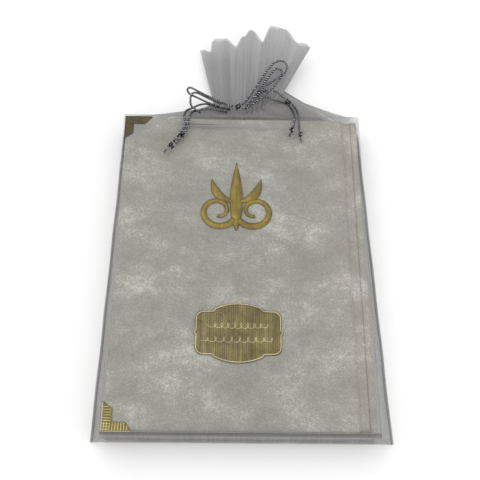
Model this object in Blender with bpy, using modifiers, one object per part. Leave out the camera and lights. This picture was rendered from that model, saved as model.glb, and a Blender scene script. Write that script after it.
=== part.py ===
"""Velvet-covered prayer book lying in a tied organza drawstring pouch.

Metres, +Z up. The book lies flat on its back cover inside the pouch, its tail edge towards -Y,
its head towards +Y, its fore-edge at -X and its spine at +X. The origin is on the underside of
the pouch, below the middle of the book.
"""
import math

import bmesh
import bpy
from mathutils import Vector

# ---------------------------------------------------------------- driving dimensions
BOOK_WIDTH = 0.120          # fore-edge to spine, over the velvet
BOOK_HEIGHT = 0.165         # head to tail
BOOK_THICKNESS = 0.013
POUCH_FABRIC = 0.0004       # thickness of a pouch panel with its sheen coat
BOOK_LIFT = 0.0013          # underside of the cover above the table, on its metal corners

VELVET = 0.0006
TURN_IN = 0.0004            # velvet turned in over the inside of a board
FIT = 0.00015               # clearance between glued layers
CUT_PAST = 0.001            # how far a cutter runs past the face it opens
CUT_OVERLAP = 0.0002        # how far one cutter runs into another's hollow
BOARD = 0.0018
PAPER = 0.0002              # one endpaper
TURN_IN_WIDTH = 0.0115

SPINE_WIDTH = 0.0033        # depth of the spine, velvet and board together
SPINE_DROP = 0.00135        # top edge of the spine below the cover's outer face
JOINT_WIDTH = 0.005         # cloth joint between board and spine
JOINT_DEPTH = 0.002
JOINT_GAP = 0.0002          # hairline between the joint's cloth and the spine
SPINE_LIP = 0.00065         # velvet turned over the spine board's inner face
HINGE_INSET = 0.00005       # cover hinge line: before the spine's inner face
HINGE_DROP = 0.0015         # and below the cover's outer face
CLOTH_ROUND = 0.0002
SPINE_ROUND = 0.0003

SQUARE = 0.003              # overhang of the cover past the page block
SECTION_COUNT = 6
LEAF_GAP = 0.0002
FLYLEAF_GAP = 0.00025       # between a pastedown and its flyleaf
BLOCK_BACK_GAP = 0.0004     # between the block's back and the spine's inner face
LINING = 0.0003
LINING_GAP = 0.0002
BAND_WIDTH = 0.0018         # head and tail band
BAND_DEPTH = 0.0012
BAND_GAP = 0.0002
BAND_INSET_X = 0.0001
BAND_INSET_Z = 0.0003
BAND_ROUND = 0.0004

CORNER_LEG = 0.014          # metal corner: outer length of a leg
CORNER_LEG_INNER = 0.0104   # and its inner length, because the end is mitred
CORNER_BAND = 0.0046        # width of a leg seen from above
CORNER_LIP = 0.0024         # width of its lip inside the cover
METAL = 0.00045
METAL_GAP = 0.0001          # between a metal piece and the velvet under it
METAL_ROUND = 0.00015

ORNAMENT_CENTRE = (-0.0025, 0.0152)    # foot of the gilt leaf ornament
ORNAMENT_SIZE = 0.040
ORNAMENT_THICKNESS = 0.0008
LEAF_TIP = 0.0004           # width of a leaf's tip
CENTRE_LEAF_WIDTH = 0.0062  # added to the tip's width where the leaf is widest
SIDE_LEAF_WIDTH = 0.0042
SCROLL_WIDTH = 0.0036
SCROLL_TAPER = 0.0019
PLATE_CENTRE = (-0.0012, -0.0368)
PLATE_HALF = (0.0208, 0.0146)
PLATE_THICKNESS = 0.0006
PLATE_RIM = 0.0009
PLATE_POCKET = 0.0002
PLATE_SHOULDER = 0.0107     # height of the plate's shoulders from its middle
PLATE_STEP = 0.0012         # rise from a shoulder to the end of the arch
PLATE_STEP_RUN = 0.0009     # sideways run of that step
PLATE_SLOPE = 0.0002        # fall of a shoulder from the step outwards
PLATE_ARCH = 0.0112         # half width of the arched top and foot
PLATE_ROUND = 0.0032        # radius of the shoulders' corners
PLATE_POINT = 0.0012        # the point on each side: half height
PLATE_POINT_OUT = 0.0010    # and how far it stands out

POUCH_HALF_TAIL = {-1: 0.0653, 1: 0.0669}   # panel's half width at the tail: fore-edge, spine
POUCH_HALF_HEAD = 0.0618                    # and beside the head of the book
POUCH_TAIL_Y = -0.0842
POUCH_HEAD_Y = 0.0838
POUCH_RISE = 0.0014         # panel's mid-surface above the cover, over the ornament and plate
POUCH_EDGE_Z = 0.0010       # mid-surface where the front panel reaches the seams
SHOULDER_DROP = 0.0022      # how much lower the panel's sides meet the neck than its middle
SHOULDER_FALL = 0.6         # below 1 the cloth drops soonest at the book's head edge
LOWER_LAYER = 0.0030        # back layer: height at the neck, and drop below the front at the mouth
SEAM_GAP = 0.0003
SIDE_SEAM_WIDTH = 0.0012
SEAM_FOOT = 0.0002
SEAM_TOP = 0.0011
TAIL_SEAM_X = (-0.0460, 0.0600)     # tail seam, turned in under the cover beside its corner
TAIL_SEAM_Y = (-0.0836, -0.0815)
TAIL_SEAM_Z = (0.0005, 0.0011)
GATHER_COLUMNS = 24
CHANNEL_SPAN = (0.05, 0.15)     # shares of the way from the neck to the mouth
CHANNEL_ROWS = 2
CHANNEL_FRONT = 0.0022          # thickness of the gathered channel
CHANNEL_BACK = 0.0016
CHANNEL_FRONT_RIPPLE = 0.0010
CHANNEL_BACK_RIPPLE = 0.0006
FRILL_SPAN = (0.19, 1.0)
FRILL_ROWS = 6
FRILL_FRONT_RIPPLE = 0.0030
FRILL_BACK_RIPPLE = 0.0020

CORD_RADIUS = 0.00045
CORD_POINT_SPACING = 0.0021
KNOT_CLEARANCE = 0.00018
FRAY_THIN = 0.0004
FRAY_WIDE = 0.0010

# ---------------------------------------------------------------- derived levels
COVER_TOP = BOOK_LIFT + BOOK_THICKNESS
POUCH_TOP = COVER_TOP + POUCH_RISE
TRAY_DEPTH = VELVET + 2 * FIT + BOARD + TURN_IN
PASTE_DEPTH = TRAY_DEPTH + FIT + PAPER
BLOCK_DEPTH = PASTE_DEPTH + FLYLEAF_GAP
FORE_EDGE = -BOOK_WIDTH / 2
SPINE_OUT = BOOK_WIDTH / 2
HALF_HEIGHT = BOOK_HEIGHT / 2
SPINE_IN = SPINE_OUT - SPINE_WIDTH
TRAY_END = SPINE_IN - JOINT_WIDTH
JOINT_END = SPINE_IN - JOINT_GAP
HINGE_X = SPINE_IN - HINGE_INSET
HINGE_Z = COVER_TOP - HINGE_DROP
BLOCK_SPINE = SPINE_IN - BLOCK_BACK_GAP
BLOCK_TOP = COVER_TOP - BLOCK_DEPTH
BLOCK_FOOT = BOOK_LIFT + BLOCK_DEPTH
BLOCK_HALF = HALF_HEIGHT - SQUARE
BLOCK_FORE = FORE_EDGE + SQUARE


# ---------------------------------------------------------------- scene set-up
def clear_scene():
    for obj in list(bpy.data.objects):
        bpy.data.objects.remove(obj, do_unlink=True)


def new_collection(name):
    collection = bpy.data.collections.new(name)
    bpy.context.scene.collection.children.link(collection)
    return collection


clear_scene()
PARTS = new_collection("prayer_book")
CUTTERS = new_collection("cutters")


def material(name, colour, roughness, metallic=0.0):
    mat = bpy.data.materials.new(name)
    mat.use_nodes = True
    shader = mat.node_tree.nodes["Principled BSDF"]
    shader.inputs["Base Color"].default_value = (*colour, 1.0)
    shader.inputs["Roughness"].default_value = roughness
    shader.inputs["Metallic"].default_value = metallic
    mat.diffuse_color = (*colour, 1.0)
    return mat


VELVET_GREY = (0.42, 0.42, 0.38)
ORGANZA_GREY = (0.36, 0.35, 0.34)
GREYBOARD = (0.33, 0.31, 0.28)
CREAM_PAPER = (0.80, 0.75, 0.62)
GILT = (0.62, 0.45, 0.14)
PLATE_GOLD = (0.50, 0.44, 0.26)
CORD_BLACK = (0.05, 0.05, 0.06)
LINING_CREAM = (0.66, 0.62, 0.52)
BAND_YELLOW = (0.75, 0.66, 0.40)
SEAM_GREY = (0.30, 0.29, 0.28)


# ---------------------------------------------------------------- building helpers
def adopt(obj, name, mat, parent=None, collection=PARTS):
    """Name an object, give it its material and collection, and hang it on its parent."""
    obj.name = name
    obj.data.name = name
    for owner in list(obj.users_collection):
        owner.objects.unlink(obj)
    collection.objects.link(obj)
    obj.data.materials.clear()
    if mat is not None:
        obj.data.materials.append(mat)
    if parent is not None:
        obj.parent = parent
        obj.location = obj.location - parent.location
    return obj


def axis_empty(name, location):
    empty = bpy.data.objects.new(name, None)
    empty.empty_display_size = 0.01
    empty.location = location
    PARTS.objects.link(empty)
    return empty


def box(name, low, high, mat, parent=None, collection=PARTS):
    """Axis-aligned box between two opposite corners."""
    centre = [(a + b) / 2 for a, b in zip(low, high)]
    bpy.ops.mesh.primitive_cube_add(size=1, location=centre)
    obj = bpy.context.object
    obj.scale = [b - a for a, b in zip(low, high)]
    bpy.ops.object.transform_apply(location=False, rotation=False, scale=True)
    return adopt(obj, name, mat, parent, collection)


def bevel(obj, width, segments=2):
    modifier = obj.modifiers.new("rounded_edges", "BEVEL")
    modifier.width = width
    modifier.segments = segments
    modifier.limit_method = "ANGLE"
    modifier.angle_limit = math.radians(40)


def mesh_from_curve(curve_obj):
    """Turn a curve object into a closed mesh object at the same place."""
    bpy.context.view_layer.update()
    graph = bpy.context.evaluated_depsgraph_get()
    mesh = bpy.data.meshes.new_from_object(curve_obj.evaluated_get(graph))
    welded = bmesh.new()
    welded.from_mesh(mesh)
    bmesh.ops.remove_doubles(welded, verts=welded.verts, dist=1e-6)
    bmesh.ops.recalc_face_normals(welded, faces=welded.faces)
    welded.to_mesh(mesh)
    welded.free()
    obj = bpy.data.objects.new(curve_obj.name, mesh)
    obj.matrix_world = curve_obj.matrix_world
    PARTS.objects.link(obj)
    bpy.data.objects.remove(curve_obj, do_unlink=True)
    return obj


def outline_solid(name, outline, low, high, mat, parent=None, collection=PARTS, upright=False):
    """Extrude a flat outline. It stands on XY from z low to high or, upright, on XZ along Y."""
    curve = bpy.data.curves.new(name, "CURVE")
    curve.dimensions = "2D"
    curve.fill_mode = "BOTH"
    curve.extrude = (high - low) / 2
    spline = curve.splines.new("POLY")
    spline.points.add(len(outline) - 1)
    for point, (across, along) in zip(spline.points, outline):
        point.co = (across, along, 0, 1)
    spline.use_cyclic_u = True
    flat = bpy.data.objects.new(name, curve)
    PARTS.objects.link(flat)
    middle = (low + high) / 2
    if upright:
        flat.rotation_euler = (math.pi / 2, 0, 0)
        flat.location = (0, middle, 0)
    else:
        flat.location = (0, 0, middle)
    return adopt(mesh_from_curve(flat), name, mat, parent, collection)


def boolean(obj, other, operation="DIFFERENCE"):
    modifier = obj.modifiers.new("joined" if operation == "UNION" else "cut", "BOOLEAN")
    modifier.operation = operation
    modifier.object = other
    other.hide_render = True
    other.display_type = "WIRE"


def sheet(name, surface, columns, rows, thickness, mat):
    """A thin curved panel: a grid laid on surface(column, row), made solid both ways."""
    mesh = bpy.data.meshes.new(name)
    grid = bmesh.new()
    bmesh.ops.create_grid(grid, x_segments=columns, y_segments=rows, size=1)
    for vertex in grid.verts:
        column = round((vertex.co.x + 1) / 2 * columns)
        row = round((vertex.co.y + 1) / 2 * rows)
        vertex.co = surface(column, row)
    bmesh.ops.recalc_face_normals(grid, faces=grid.faces)
    grid.to_mesh(mesh)
    grid.free()
    obj = bpy.data.objects.new(name, mesh)
    PARTS.objects.link(obj)
    solidify = obj.modifiers.new("thickness", "SOLIDIFY")
    solidify.thickness = thickness
    solidify.offset = 0
    for polygon in mesh.polygons:
        polygon.use_smooth = True
    return adopt(obj, name, mat)


def blend(low, high, share):
    return low + (high - low) * share


# ---------------------------------------------------------------- covers
def cover_levels(outer, inward):
    """Heights measured from a cover's outer face; inward is -1 for the front, +1 for the back."""
    def level(depth):
        return outer + inward * depth
    return level


def span(first, second):
    return min(first, second), max(first, second)


def cover(prefix, outer, inward, joint_end, parent):
    """Board, velvet tray with its cloth joint, and pastedown of one cover."""
    level = cover_levels(outer, inward)
    cloth_foot = JOINT_DEPTH + VELVET
    profile = [
        (FORE_EDGE, level(0)),
        (TRAY_END, level(0)),
        (TRAY_END, level(JOINT_DEPTH)),
        (joint_end, level(JOINT_DEPTH)),
        (joint_end, level(cloth_foot)),
        (TRAY_END, level(cloth_foot)),
        (TRAY_END, level(TRAY_DEPTH)),
        (FORE_EDGE, level(TRAY_DEPTH)),
    ]
    velvet = outline_solid(prefix + "_cover_velvet", profile, -HALF_HEIGHT, HALF_HEIGHT,
                           material(prefix + "_velvet", VELVET_GREY, 0.9), parent, upright=True)
    bevel(velvet, CLOTH_ROUND)

    pocket_z = span(level(VELVET), level(TRAY_DEPTH - TURN_IN))
    pocket = box(prefix + "_board_pocket",
                 (FORE_EDGE + VELVET, -HALF_HEIGHT + VELVET, pocket_z[0]),
                 (TRAY_END - VELVET, HALF_HEIGHT - VELVET, pocket_z[1]), None, None, CUTTERS)
    boolean(velvet, pocket)
    window_z = span(level(TRAY_DEPTH - TURN_IN - CUT_OVERLAP), level(TRAY_DEPTH + CUT_PAST))
    window = box(prefix + "_turn_in_window",
                 (FORE_EDGE + TURN_IN_WIDTH, -HALF_HEIGHT + TURN_IN_WIDTH, window_z[0]),
                 (TRAY_END - TURN_IN_WIDTH, HALF_HEIGHT - TURN_IN_WIDTH, window_z[1]),
                 None, None, CUTTERS)
    boolean(velvet, window)

    inset = VELVET + FIT
    board_z = span(level(inset), level(inset + BOARD))
    box(prefix + "_board",
        (FORE_EDGE + inset, -HALF_HEIGHT + inset, board_z[0]),
        (TRAY_END - inset, HALF_HEIGHT - inset, board_z[1]),
        material(prefix + "_greyboard", GREYBOARD, 0.95), parent)

    paste_z = span(level(PASTE_DEPTH - PAPER), level(PASTE_DEPTH))
    box(prefix + "_pastedown",
        (BLOCK_FORE, -BLOCK_HALF, paste_z[0]), (TRAY_END, BLOCK_HALF, paste_z[1]),
        material(prefix + "_endpaper", CREAM_PAPER, 0.85), parent)


def metal_corner(name, outer, inward, end, parent):
    """Stamped corner: mitred L on the outer face, walls round the edge and a lip inside.

    end is +1 at the head and -1 at the tail.
    """
    level = cover_levels(outer, inward)
    corner_x = FORE_EDGE - METAL - METAL_GAP
    corner_y = end * (HALF_HEIGHT + METAL + METAL_GAP)
    legs = [
        (0, 0),
        (CORNER_LEG, 0),
        (CORNER_LEG_INNER, CORNER_BAND),
        (CORNER_BAND, CORNER_BAND),
        (CORNER_BAND, CORNER_LEG_INNER),
        (0, CORNER_LEG),
    ]
    outline = [(corner_x + across, corner_y - end * along) for across, along in legs]
    reach = span(level(-METAL_GAP - METAL), level(TRAY_DEPTH + FIT + METAL))
    corner = outline_solid(name, outline, *reach, material(name, GILT, 0.25, 1.0), parent)
    bevel(corner, METAL_ROUND)

    slot_z = span(level(-METAL_GAP), level(TRAY_DEPTH + FIT))
    slot_y = span(corner_y - end * METAL, 0)
    slot = box(name + "_cover_slot",
               (corner_x + METAL, slot_y[0], slot_z[0]),
               (0, slot_y[1], slot_z[1]), None, None, CUTTERS)
    boolean(corner, slot)
    lip_z = span(level(TRAY_DEPTH), level(TRAY_DEPTH + METAL + CUT_PAST))
    lip_y = span(end * (HALF_HEIGHT - CORNER_LIP), 0)
    lip = box(name + "_lip_trim",
              (FORE_EDGE + CORNER_LIP, lip_y[0], lip_z[0]),
              (0, lip_y[1], lip_z[1]), None, None, CUTTERS)
    boolean(corner, lip)


# ---------------------------------------------------------------- spine
def spine(parent):
    low = BOOK_LIFT + SPINE_DROP
    high = COVER_TOP - SPINE_DROP
    velvet = box("spine_velvet", (SPINE_IN, -HALF_HEIGHT, low), (SPINE_OUT, HALF_HEIGHT, high),
                 material("spine_velvet", VELVET_GREY, 0.9), parent)
    bevel(velvet, SPINE_ROUND)
    hollow = [
        (SPINE_IN + VELVET, high - VELVET),
        (SPINE_OUT - VELVET, high - VELVET),
        (SPINE_OUT - VELVET, low + VELVET),
        (SPINE_IN + VELVET, low + VELVET),
        (SPINE_IN + VELVET, low + VELVET + SPINE_LIP),
        (SPINE_IN - CUT_PAST, low + VELVET + SPINE_LIP),
        (SPINE_IN - CUT_PAST, high - VELVET - SPINE_LIP),
        (SPINE_IN + VELVET, high - VELVET - SPINE_LIP),
    ]
    cutter = outline_solid("spine_hollow", hollow, -HALF_HEIGHT + VELVET, HALF_HEIGHT - VELVET,
                           None, None, CUTTERS, upright=True)
    boolean(velvet, cutter)

    inset = VELVET + FIT
    box("spine_board",
        (SPINE_IN + inset, -HALF_HEIGHT + inset, low + inset),
        (SPINE_OUT - inset, HALF_HEIGHT - inset, high - inset),
        material("spine_greyboard", GREYBOARD, 0.95), parent)
    box("spine_lining",
        (BLOCK_SPINE + LINING_GAP, -BLOCK_HALF, BLOCK_FOOT),
        (BLOCK_SPINE + LINING_GAP + LINING, BLOCK_HALF, BLOCK_TOP),
        material("spine_lining", LINING_CREAM, 0.9), parent)
    for name, end in (("head_band", 1), ("tail_band", -1)):
        reach = span(end * (BLOCK_HALF + BAND_GAP), end * (BLOCK_HALF + BAND_GAP + BAND_DEPTH))
        band = box(name,
                   (BLOCK_SPINE - BAND_INSET_X - BAND_WIDTH, reach[0], BLOCK_FOOT + BAND_INSET_Z),
                   (BLOCK_SPINE - BAND_INSET_X, reach[1], BLOCK_TOP - BAND_INSET_Z),
                   material(name, BAND_YELLOW, 0.8), parent)
        bevel(band, BAND_ROUND)


# ---------------------------------------------------------------- page block
def leaf_stack(name, low, high, parent):
    box(name, (BLOCK_FORE, -BLOCK_HALF, low), (BLOCK_SPINE, BLOCK_HALF, high),
        material(name + "_paper", CREAM_PAPER, 0.85), parent)


def page_block(book_axis, leaf_axis):
    leaf_stack("front_flyleaf", BLOCK_TOP - PAPER, BLOCK_TOP, leaf_axis)
    leaf_stack("back_flyleaf", BLOCK_FOOT, BLOCK_FOOT + PAPER, book_axis)
    top = BLOCK_TOP - PAPER - LEAF_GAP
    foot = BLOCK_FOOT + PAPER + LEAF_GAP
    pitch = (top - foot + LEAF_GAP) / SECTION_COUNT
    for index in range(SECTION_COUNT):
        high = top - index * pitch
        last = index == SECTION_COUNT - 1
        leaf_stack(f"page_section_{index + 1}", high - pitch + LEAF_GAP, high,
                   book_axis if last else leaf_axis)


# ---------------------------------------------------------------- cover decoration
def tapered_stroke(path, widths, steps):
    """Closed outline of a stroke that follows path(t) and is widths(t) wide."""
    left = []
    right = []
    for step in range(steps + 1):
        t = step / steps
        x, y = path(t)
        ahead = path(min(1.0, t + 0.01))
        behind = path(max(0.0, t - 0.01))
        dx = ahead[0] - behind[0]
        dy = ahead[1] - behind[1]
        length = math.hypot(dx, dy)
        half = widths(t) / 2
        left.append((x - dy / length * half, y + dx / length * half))
        right.append((x + dy / length * half, y - dx / length * half))
    return left + right[::-1]


def scroll(side):
    """Volute that leaves the stem and curls inwards; side is -1 or +1."""
    def path(t):
        turn = math.radians(-150 + 425 * t)
        radius = ORNAMENT_SIZE * (0.235 - 0.165 * t)
        centre_x = 0.225 * ORNAMENT_SIZE
        centre_y = 0.30 * ORNAMENT_SIZE
        return (side * (centre_x + radius * math.cos(turn)), centre_y + radius * math.sin(turn))
    return path


def side_leaf(side):
    def path(t):
        bend = math.sin(math.pi * t) * 0.055 * ORNAMENT_SIZE
        return (side * (ORNAMENT_SIZE * (0.03 + 0.28 * t) + bend),
                ORNAMENT_SIZE * (0.42 + 0.34 * t) - bend)
    return path


def centre_leaf(t):
    return (0.0, ORNAMENT_SIZE * (0.02 + 0.98 * t))


def centre_leaf_width(t):
    return LEAF_TIP + CENTRE_LEAF_WIDTH * math.sin(math.pi * t ** 0.8)


def side_leaf_width(t):
    return LEAF_TIP + SIDE_LEAF_WIDTH * math.sin(math.pi * t)


def scroll_width(t):
    return SCROLL_WIDTH - SCROLL_TAPER * t


def ornament(parent):
    """Gilt leaf-and-scroll motif, one stamped piece."""
    low = COVER_TOP + METAL_GAP
    high = low + ORNAMENT_THICKNESS
    strokes = [(centre_leaf, centre_leaf_width, 14)]
    for side in (-1, 1):
        strokes.append((scroll(side), scroll_width, 22))
        strokes.append((side_leaf(side), side_leaf_width, 10))
    body = None
    for path, widths, steps in strokes:
        outline = [(x + ORNAMENT_CENTRE[0], y + ORNAMENT_CENTRE[1])
                   for x, y in tapered_stroke(path, widths, steps)]
        if body is None:
            body = outline_solid("ornament", outline, low, high,
                                 material("ornament_gilt", GILT, 0.3, 1.0), parent)
        else:
            stroke = outline_solid("ornament_stroke", outline, low, high, None, None, CUTTERS)
            boolean(body, stroke, "UNION")


def arc(centre, radius_x, radius_y, start, stop, steps):
    points = []
    for step in range(steps + 1):
        angle = math.radians(blend(start, stop, step / steps))
        points.append((centre[0] + radius_x * math.cos(angle),
                       centre[1] + radius_y * math.sin(angle)))
    return points


def plate_arch(shrink, side):
    """Arched top (side +1) or foot (side -1) of the plate's right half, from its middle outwards."""
    rise = PLATE_HALF[1] - PLATE_SHOULDER - PLATE_STEP
    radius = (PLATE_ARCH ** 2 + rise ** 2) / (2 * rise)
    middle = PLATE_HALF[1] - radius
    end = 90 - math.degrees(math.asin((PLATE_ARCH - shrink) / (radius - shrink)))
    points = arc((0, middle), radius - shrink, radius - shrink, 90, end, 6)
    return [(x, side * y) for x, y in points]


def cartouche(shrink):
    """Right half of the plate's outline from top to bottom, mirrored to the left."""
    half_x = PLATE_HALF[0] - shrink
    side_x = half_x - PLATE_POINT_OUT
    turn_x = side_x - PLATE_ROUND
    step_x = PLATE_ARCH + PLATE_STEP_RUN - shrink
    shoulder = PLATE_SHOULDER - shrink
    turn_y = shoulder - PLATE_ROUND
    right = plate_arch(shrink, 1)
    right.append((step_x, shoulder + PLATE_SLOPE))
    right += arc((turn_x, turn_y), PLATE_ROUND, PLATE_ROUND, 90, 0, 5)
    right.append((side_x, PLATE_POINT))
    right.append((half_x, 0.0))
    right.append((side_x, -PLATE_POINT))
    right += arc((turn_x, -turn_y), PLATE_ROUND, PLATE_ROUND, 0, -90, 5)
    right.append((step_x, -shoulder - PLATE_SLOPE))
    right += plate_arch(shrink, -1)[::-1]
    left = [(-x, y) for x, y in right[-2:0:-1]]
    return [(x + PLATE_CENTRE[0], y + PLATE_CENTRE[1]) for x, y in right + left]


def name_plate(parent):
    low = COVER_TOP + METAL_GAP
    high = low + PLATE_THICKNESS
    plate = outline_solid("name_plate", cartouche(0), low, high,
                          material("plate_gold", PLATE_GOLD, 0.35, 1.0), parent)
    pocket = outline_solid("plate_pocket", cartouche(PLATE_RIM), high - PLATE_POCKET, high + CUT_PAST,
                           None, None, CUTTERS)
    boolean(plate, pocket)


# ---------------------------------------------------------------- pouch
def neck(u):
    """Front of the gathered neck, u from -1 (fore-edge side) to +1 (spine side)."""
    return (0.0043 + 0.0196 * u,
            0.0908 + 0.0050 * u + 0.0147 * u * u,
            0.0078 + 0.0012 * u - 0.0016 * u * u)


def mouth(u):
    """Ruffled end of the frill."""
    return (0.0070 + 0.0305 * u,
            0.1405 - 0.0022 * u - 0.0062 * u * u,
            0.0165 + 0.0040 * u - 0.0048 * u * u)


def pouch_half_width(y, side):
    share = (y - POUCH_TAIL_Y) / (POUCH_HEAD_Y - POUCH_TAIL_Y)
    return blend(POUCH_HALF_TAIL[side], POUCH_HALF_HEAD, share)


# Across the pouch: (place, height share); a place of -1 or 1 is a seam, others are x in metres.
ACROSS = [(-1, 0.0), (-0.0616, 0.55), (-0.0613, 0.91), (-0.0610, 0.99), (-0.0560, 1.0),
          (-0.030, 1.0), (0.0, 1.0), (0.030, 1.0), (0.0560, 1.0), (0.0603, 0.99),
          (0.0610, 0.91), (0.0616, 0.55), (1, 0.0)]
# Along the pouch: (y, height share) from the tail over the book to its head.
ALONG = [(POUCH_TAIL_Y, 0.0), (-0.0839, 0.50), (-0.0837, 0.90), (-0.0835, 0.99),
         (-0.0780, 1.0), (-0.040, 1.0), (0.0, 1.0), (0.040, 1.0), (0.0780, 1.0),
         (POUCH_HEAD_Y, 0.97)]
SHOULDER_ROWS = 4


def pouch_front_surface(column, row):
    place, across_share = ACROSS[column]
    y, along_share = ALONG[min(row, len(ALONG) - 1)]
    x = place * pouch_half_width(y, place) if abs(place) == 1 else place
    z = POUCH_EDGE_Z + (POUCH_TOP - POUCH_EDGE_Z) * across_share * along_share
    past_head = row - (len(ALONG) - 1)
    if past_head <= 0:
        return (x, y, z)
    share = past_head / SHOULDER_ROWS
    neck_x, neck_y, neck_z = neck(x / POUCH_HALF_HEAD * 0.98)
    neck_z -= SHOULDER_DROP * (1 - across_share)
    ease = share ** SHOULDER_FALL
    return (blend(x, neck_x, share), blend(y, neck_y, share), blend(z, neck_z, ease))


def gathered(level, ripple, start, stop, columns, rows):
    """Surface of the fabric past the neck, between two shares of the way to the mouth."""
    def surface(column, row):
        u = column / columns * 2 - 1
        w = blend(start, stop, row / rows)
        near = neck(u)
        far = mouth(u)
        swing = ripple * (0.25 + 0.75 * w) * math.sin(9 * math.pi * u / 2 + 0.9)
        x, y, z = (blend(a, b, w) for a, b in zip(near, far))
        return (x, y, level(u, w, z) + swing)
    return surface


def upper(u, w, z):
    return z


def lower(u, w, z):
    return blend(LOWER_LAYER, z - LOWER_LAYER, w)


def pouch_back_outline():
    right = [(pouch_half_width(y, 1), y) for y in (POUCH_TAIL_Y, POUCH_HEAD_Y)]
    edge = [neck(1 - step / 4)[:2] for step in range(9)]
    left = [(-pouch_half_width(y, -1), y) for y in (POUCH_HEAD_Y, POUCH_TAIL_Y)]
    return right + edge + left


def side_seam(name, side, mat):
    """Flat seam allowance beside a panel edge, from the tail to the head of the book."""
    tail = pouch_half_width(POUCH_TAIL_Y, side) + SEAM_GAP
    head = pouch_half_width(POUCH_HEAD_Y, side) + SEAM_GAP
    outline = [(side * tail, POUCH_TAIL_Y),
               (side * (tail + SIDE_SEAM_WIDTH), POUCH_TAIL_Y),
               (side * (head + SIDE_SEAM_WIDTH), POUCH_HEAD_Y),
               (side * head, POUCH_HEAD_Y)]
    outline_solid(name, outline, SEAM_FOOT, SEAM_TOP, mat)


def pouch():
    organza = material("organza", ORGANZA_GREY, 0.5)
    outline_solid("pouch_back_panel", pouch_back_outline(), 0.0, POUCH_FABRIC, organza)
    sheet("pouch_front_panel", pouch_front_surface, len(ACROSS) - 1,
          len(ALONG) - 1 + SHOULDER_ROWS, POUCH_FABRIC, material("organza_front", ORGANZA_GREY, 0.5))
    seam = material("seam", SEAM_GREY, 0.6)
    side_seam("pouch_side_seam_left", -1, seam)
    side_seam("pouch_side_seam_right", 1, seam)
    low, high = zip(TAIL_SEAM_X, TAIL_SEAM_Y, TAIL_SEAM_Z)
    box("pouch_tail_seam", low, high, seam)
    layers = [
        ("drawstring_channel_front", upper, CHANNEL_FRONT_RIPPLE, CHANNEL_SPAN, CHANNEL_ROWS,
         CHANNEL_FRONT),
        ("drawstring_channel_back", lower, CHANNEL_BACK_RIPPLE, CHANNEL_SPAN, CHANNEL_ROWS,
         CHANNEL_BACK),
        ("pouch_frill_front", upper, FRILL_FRONT_RIPPLE, FRILL_SPAN, FRILL_ROWS, POUCH_FABRIC),
        ("pouch_frill_back", lower, FRILL_BACK_RIPPLE, FRILL_SPAN, FRILL_ROWS, POUCH_FABRIC),
    ]
    for name, level, ripple, reach, rows, thickness in layers:
        sheet(name, gathered(level, ripple, *reach, GATHER_COLUMNS, rows),
              GATHER_COLUMNS, rows, thickness, material(name + "_organza", ORGANZA_GREY, 0.5))


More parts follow.
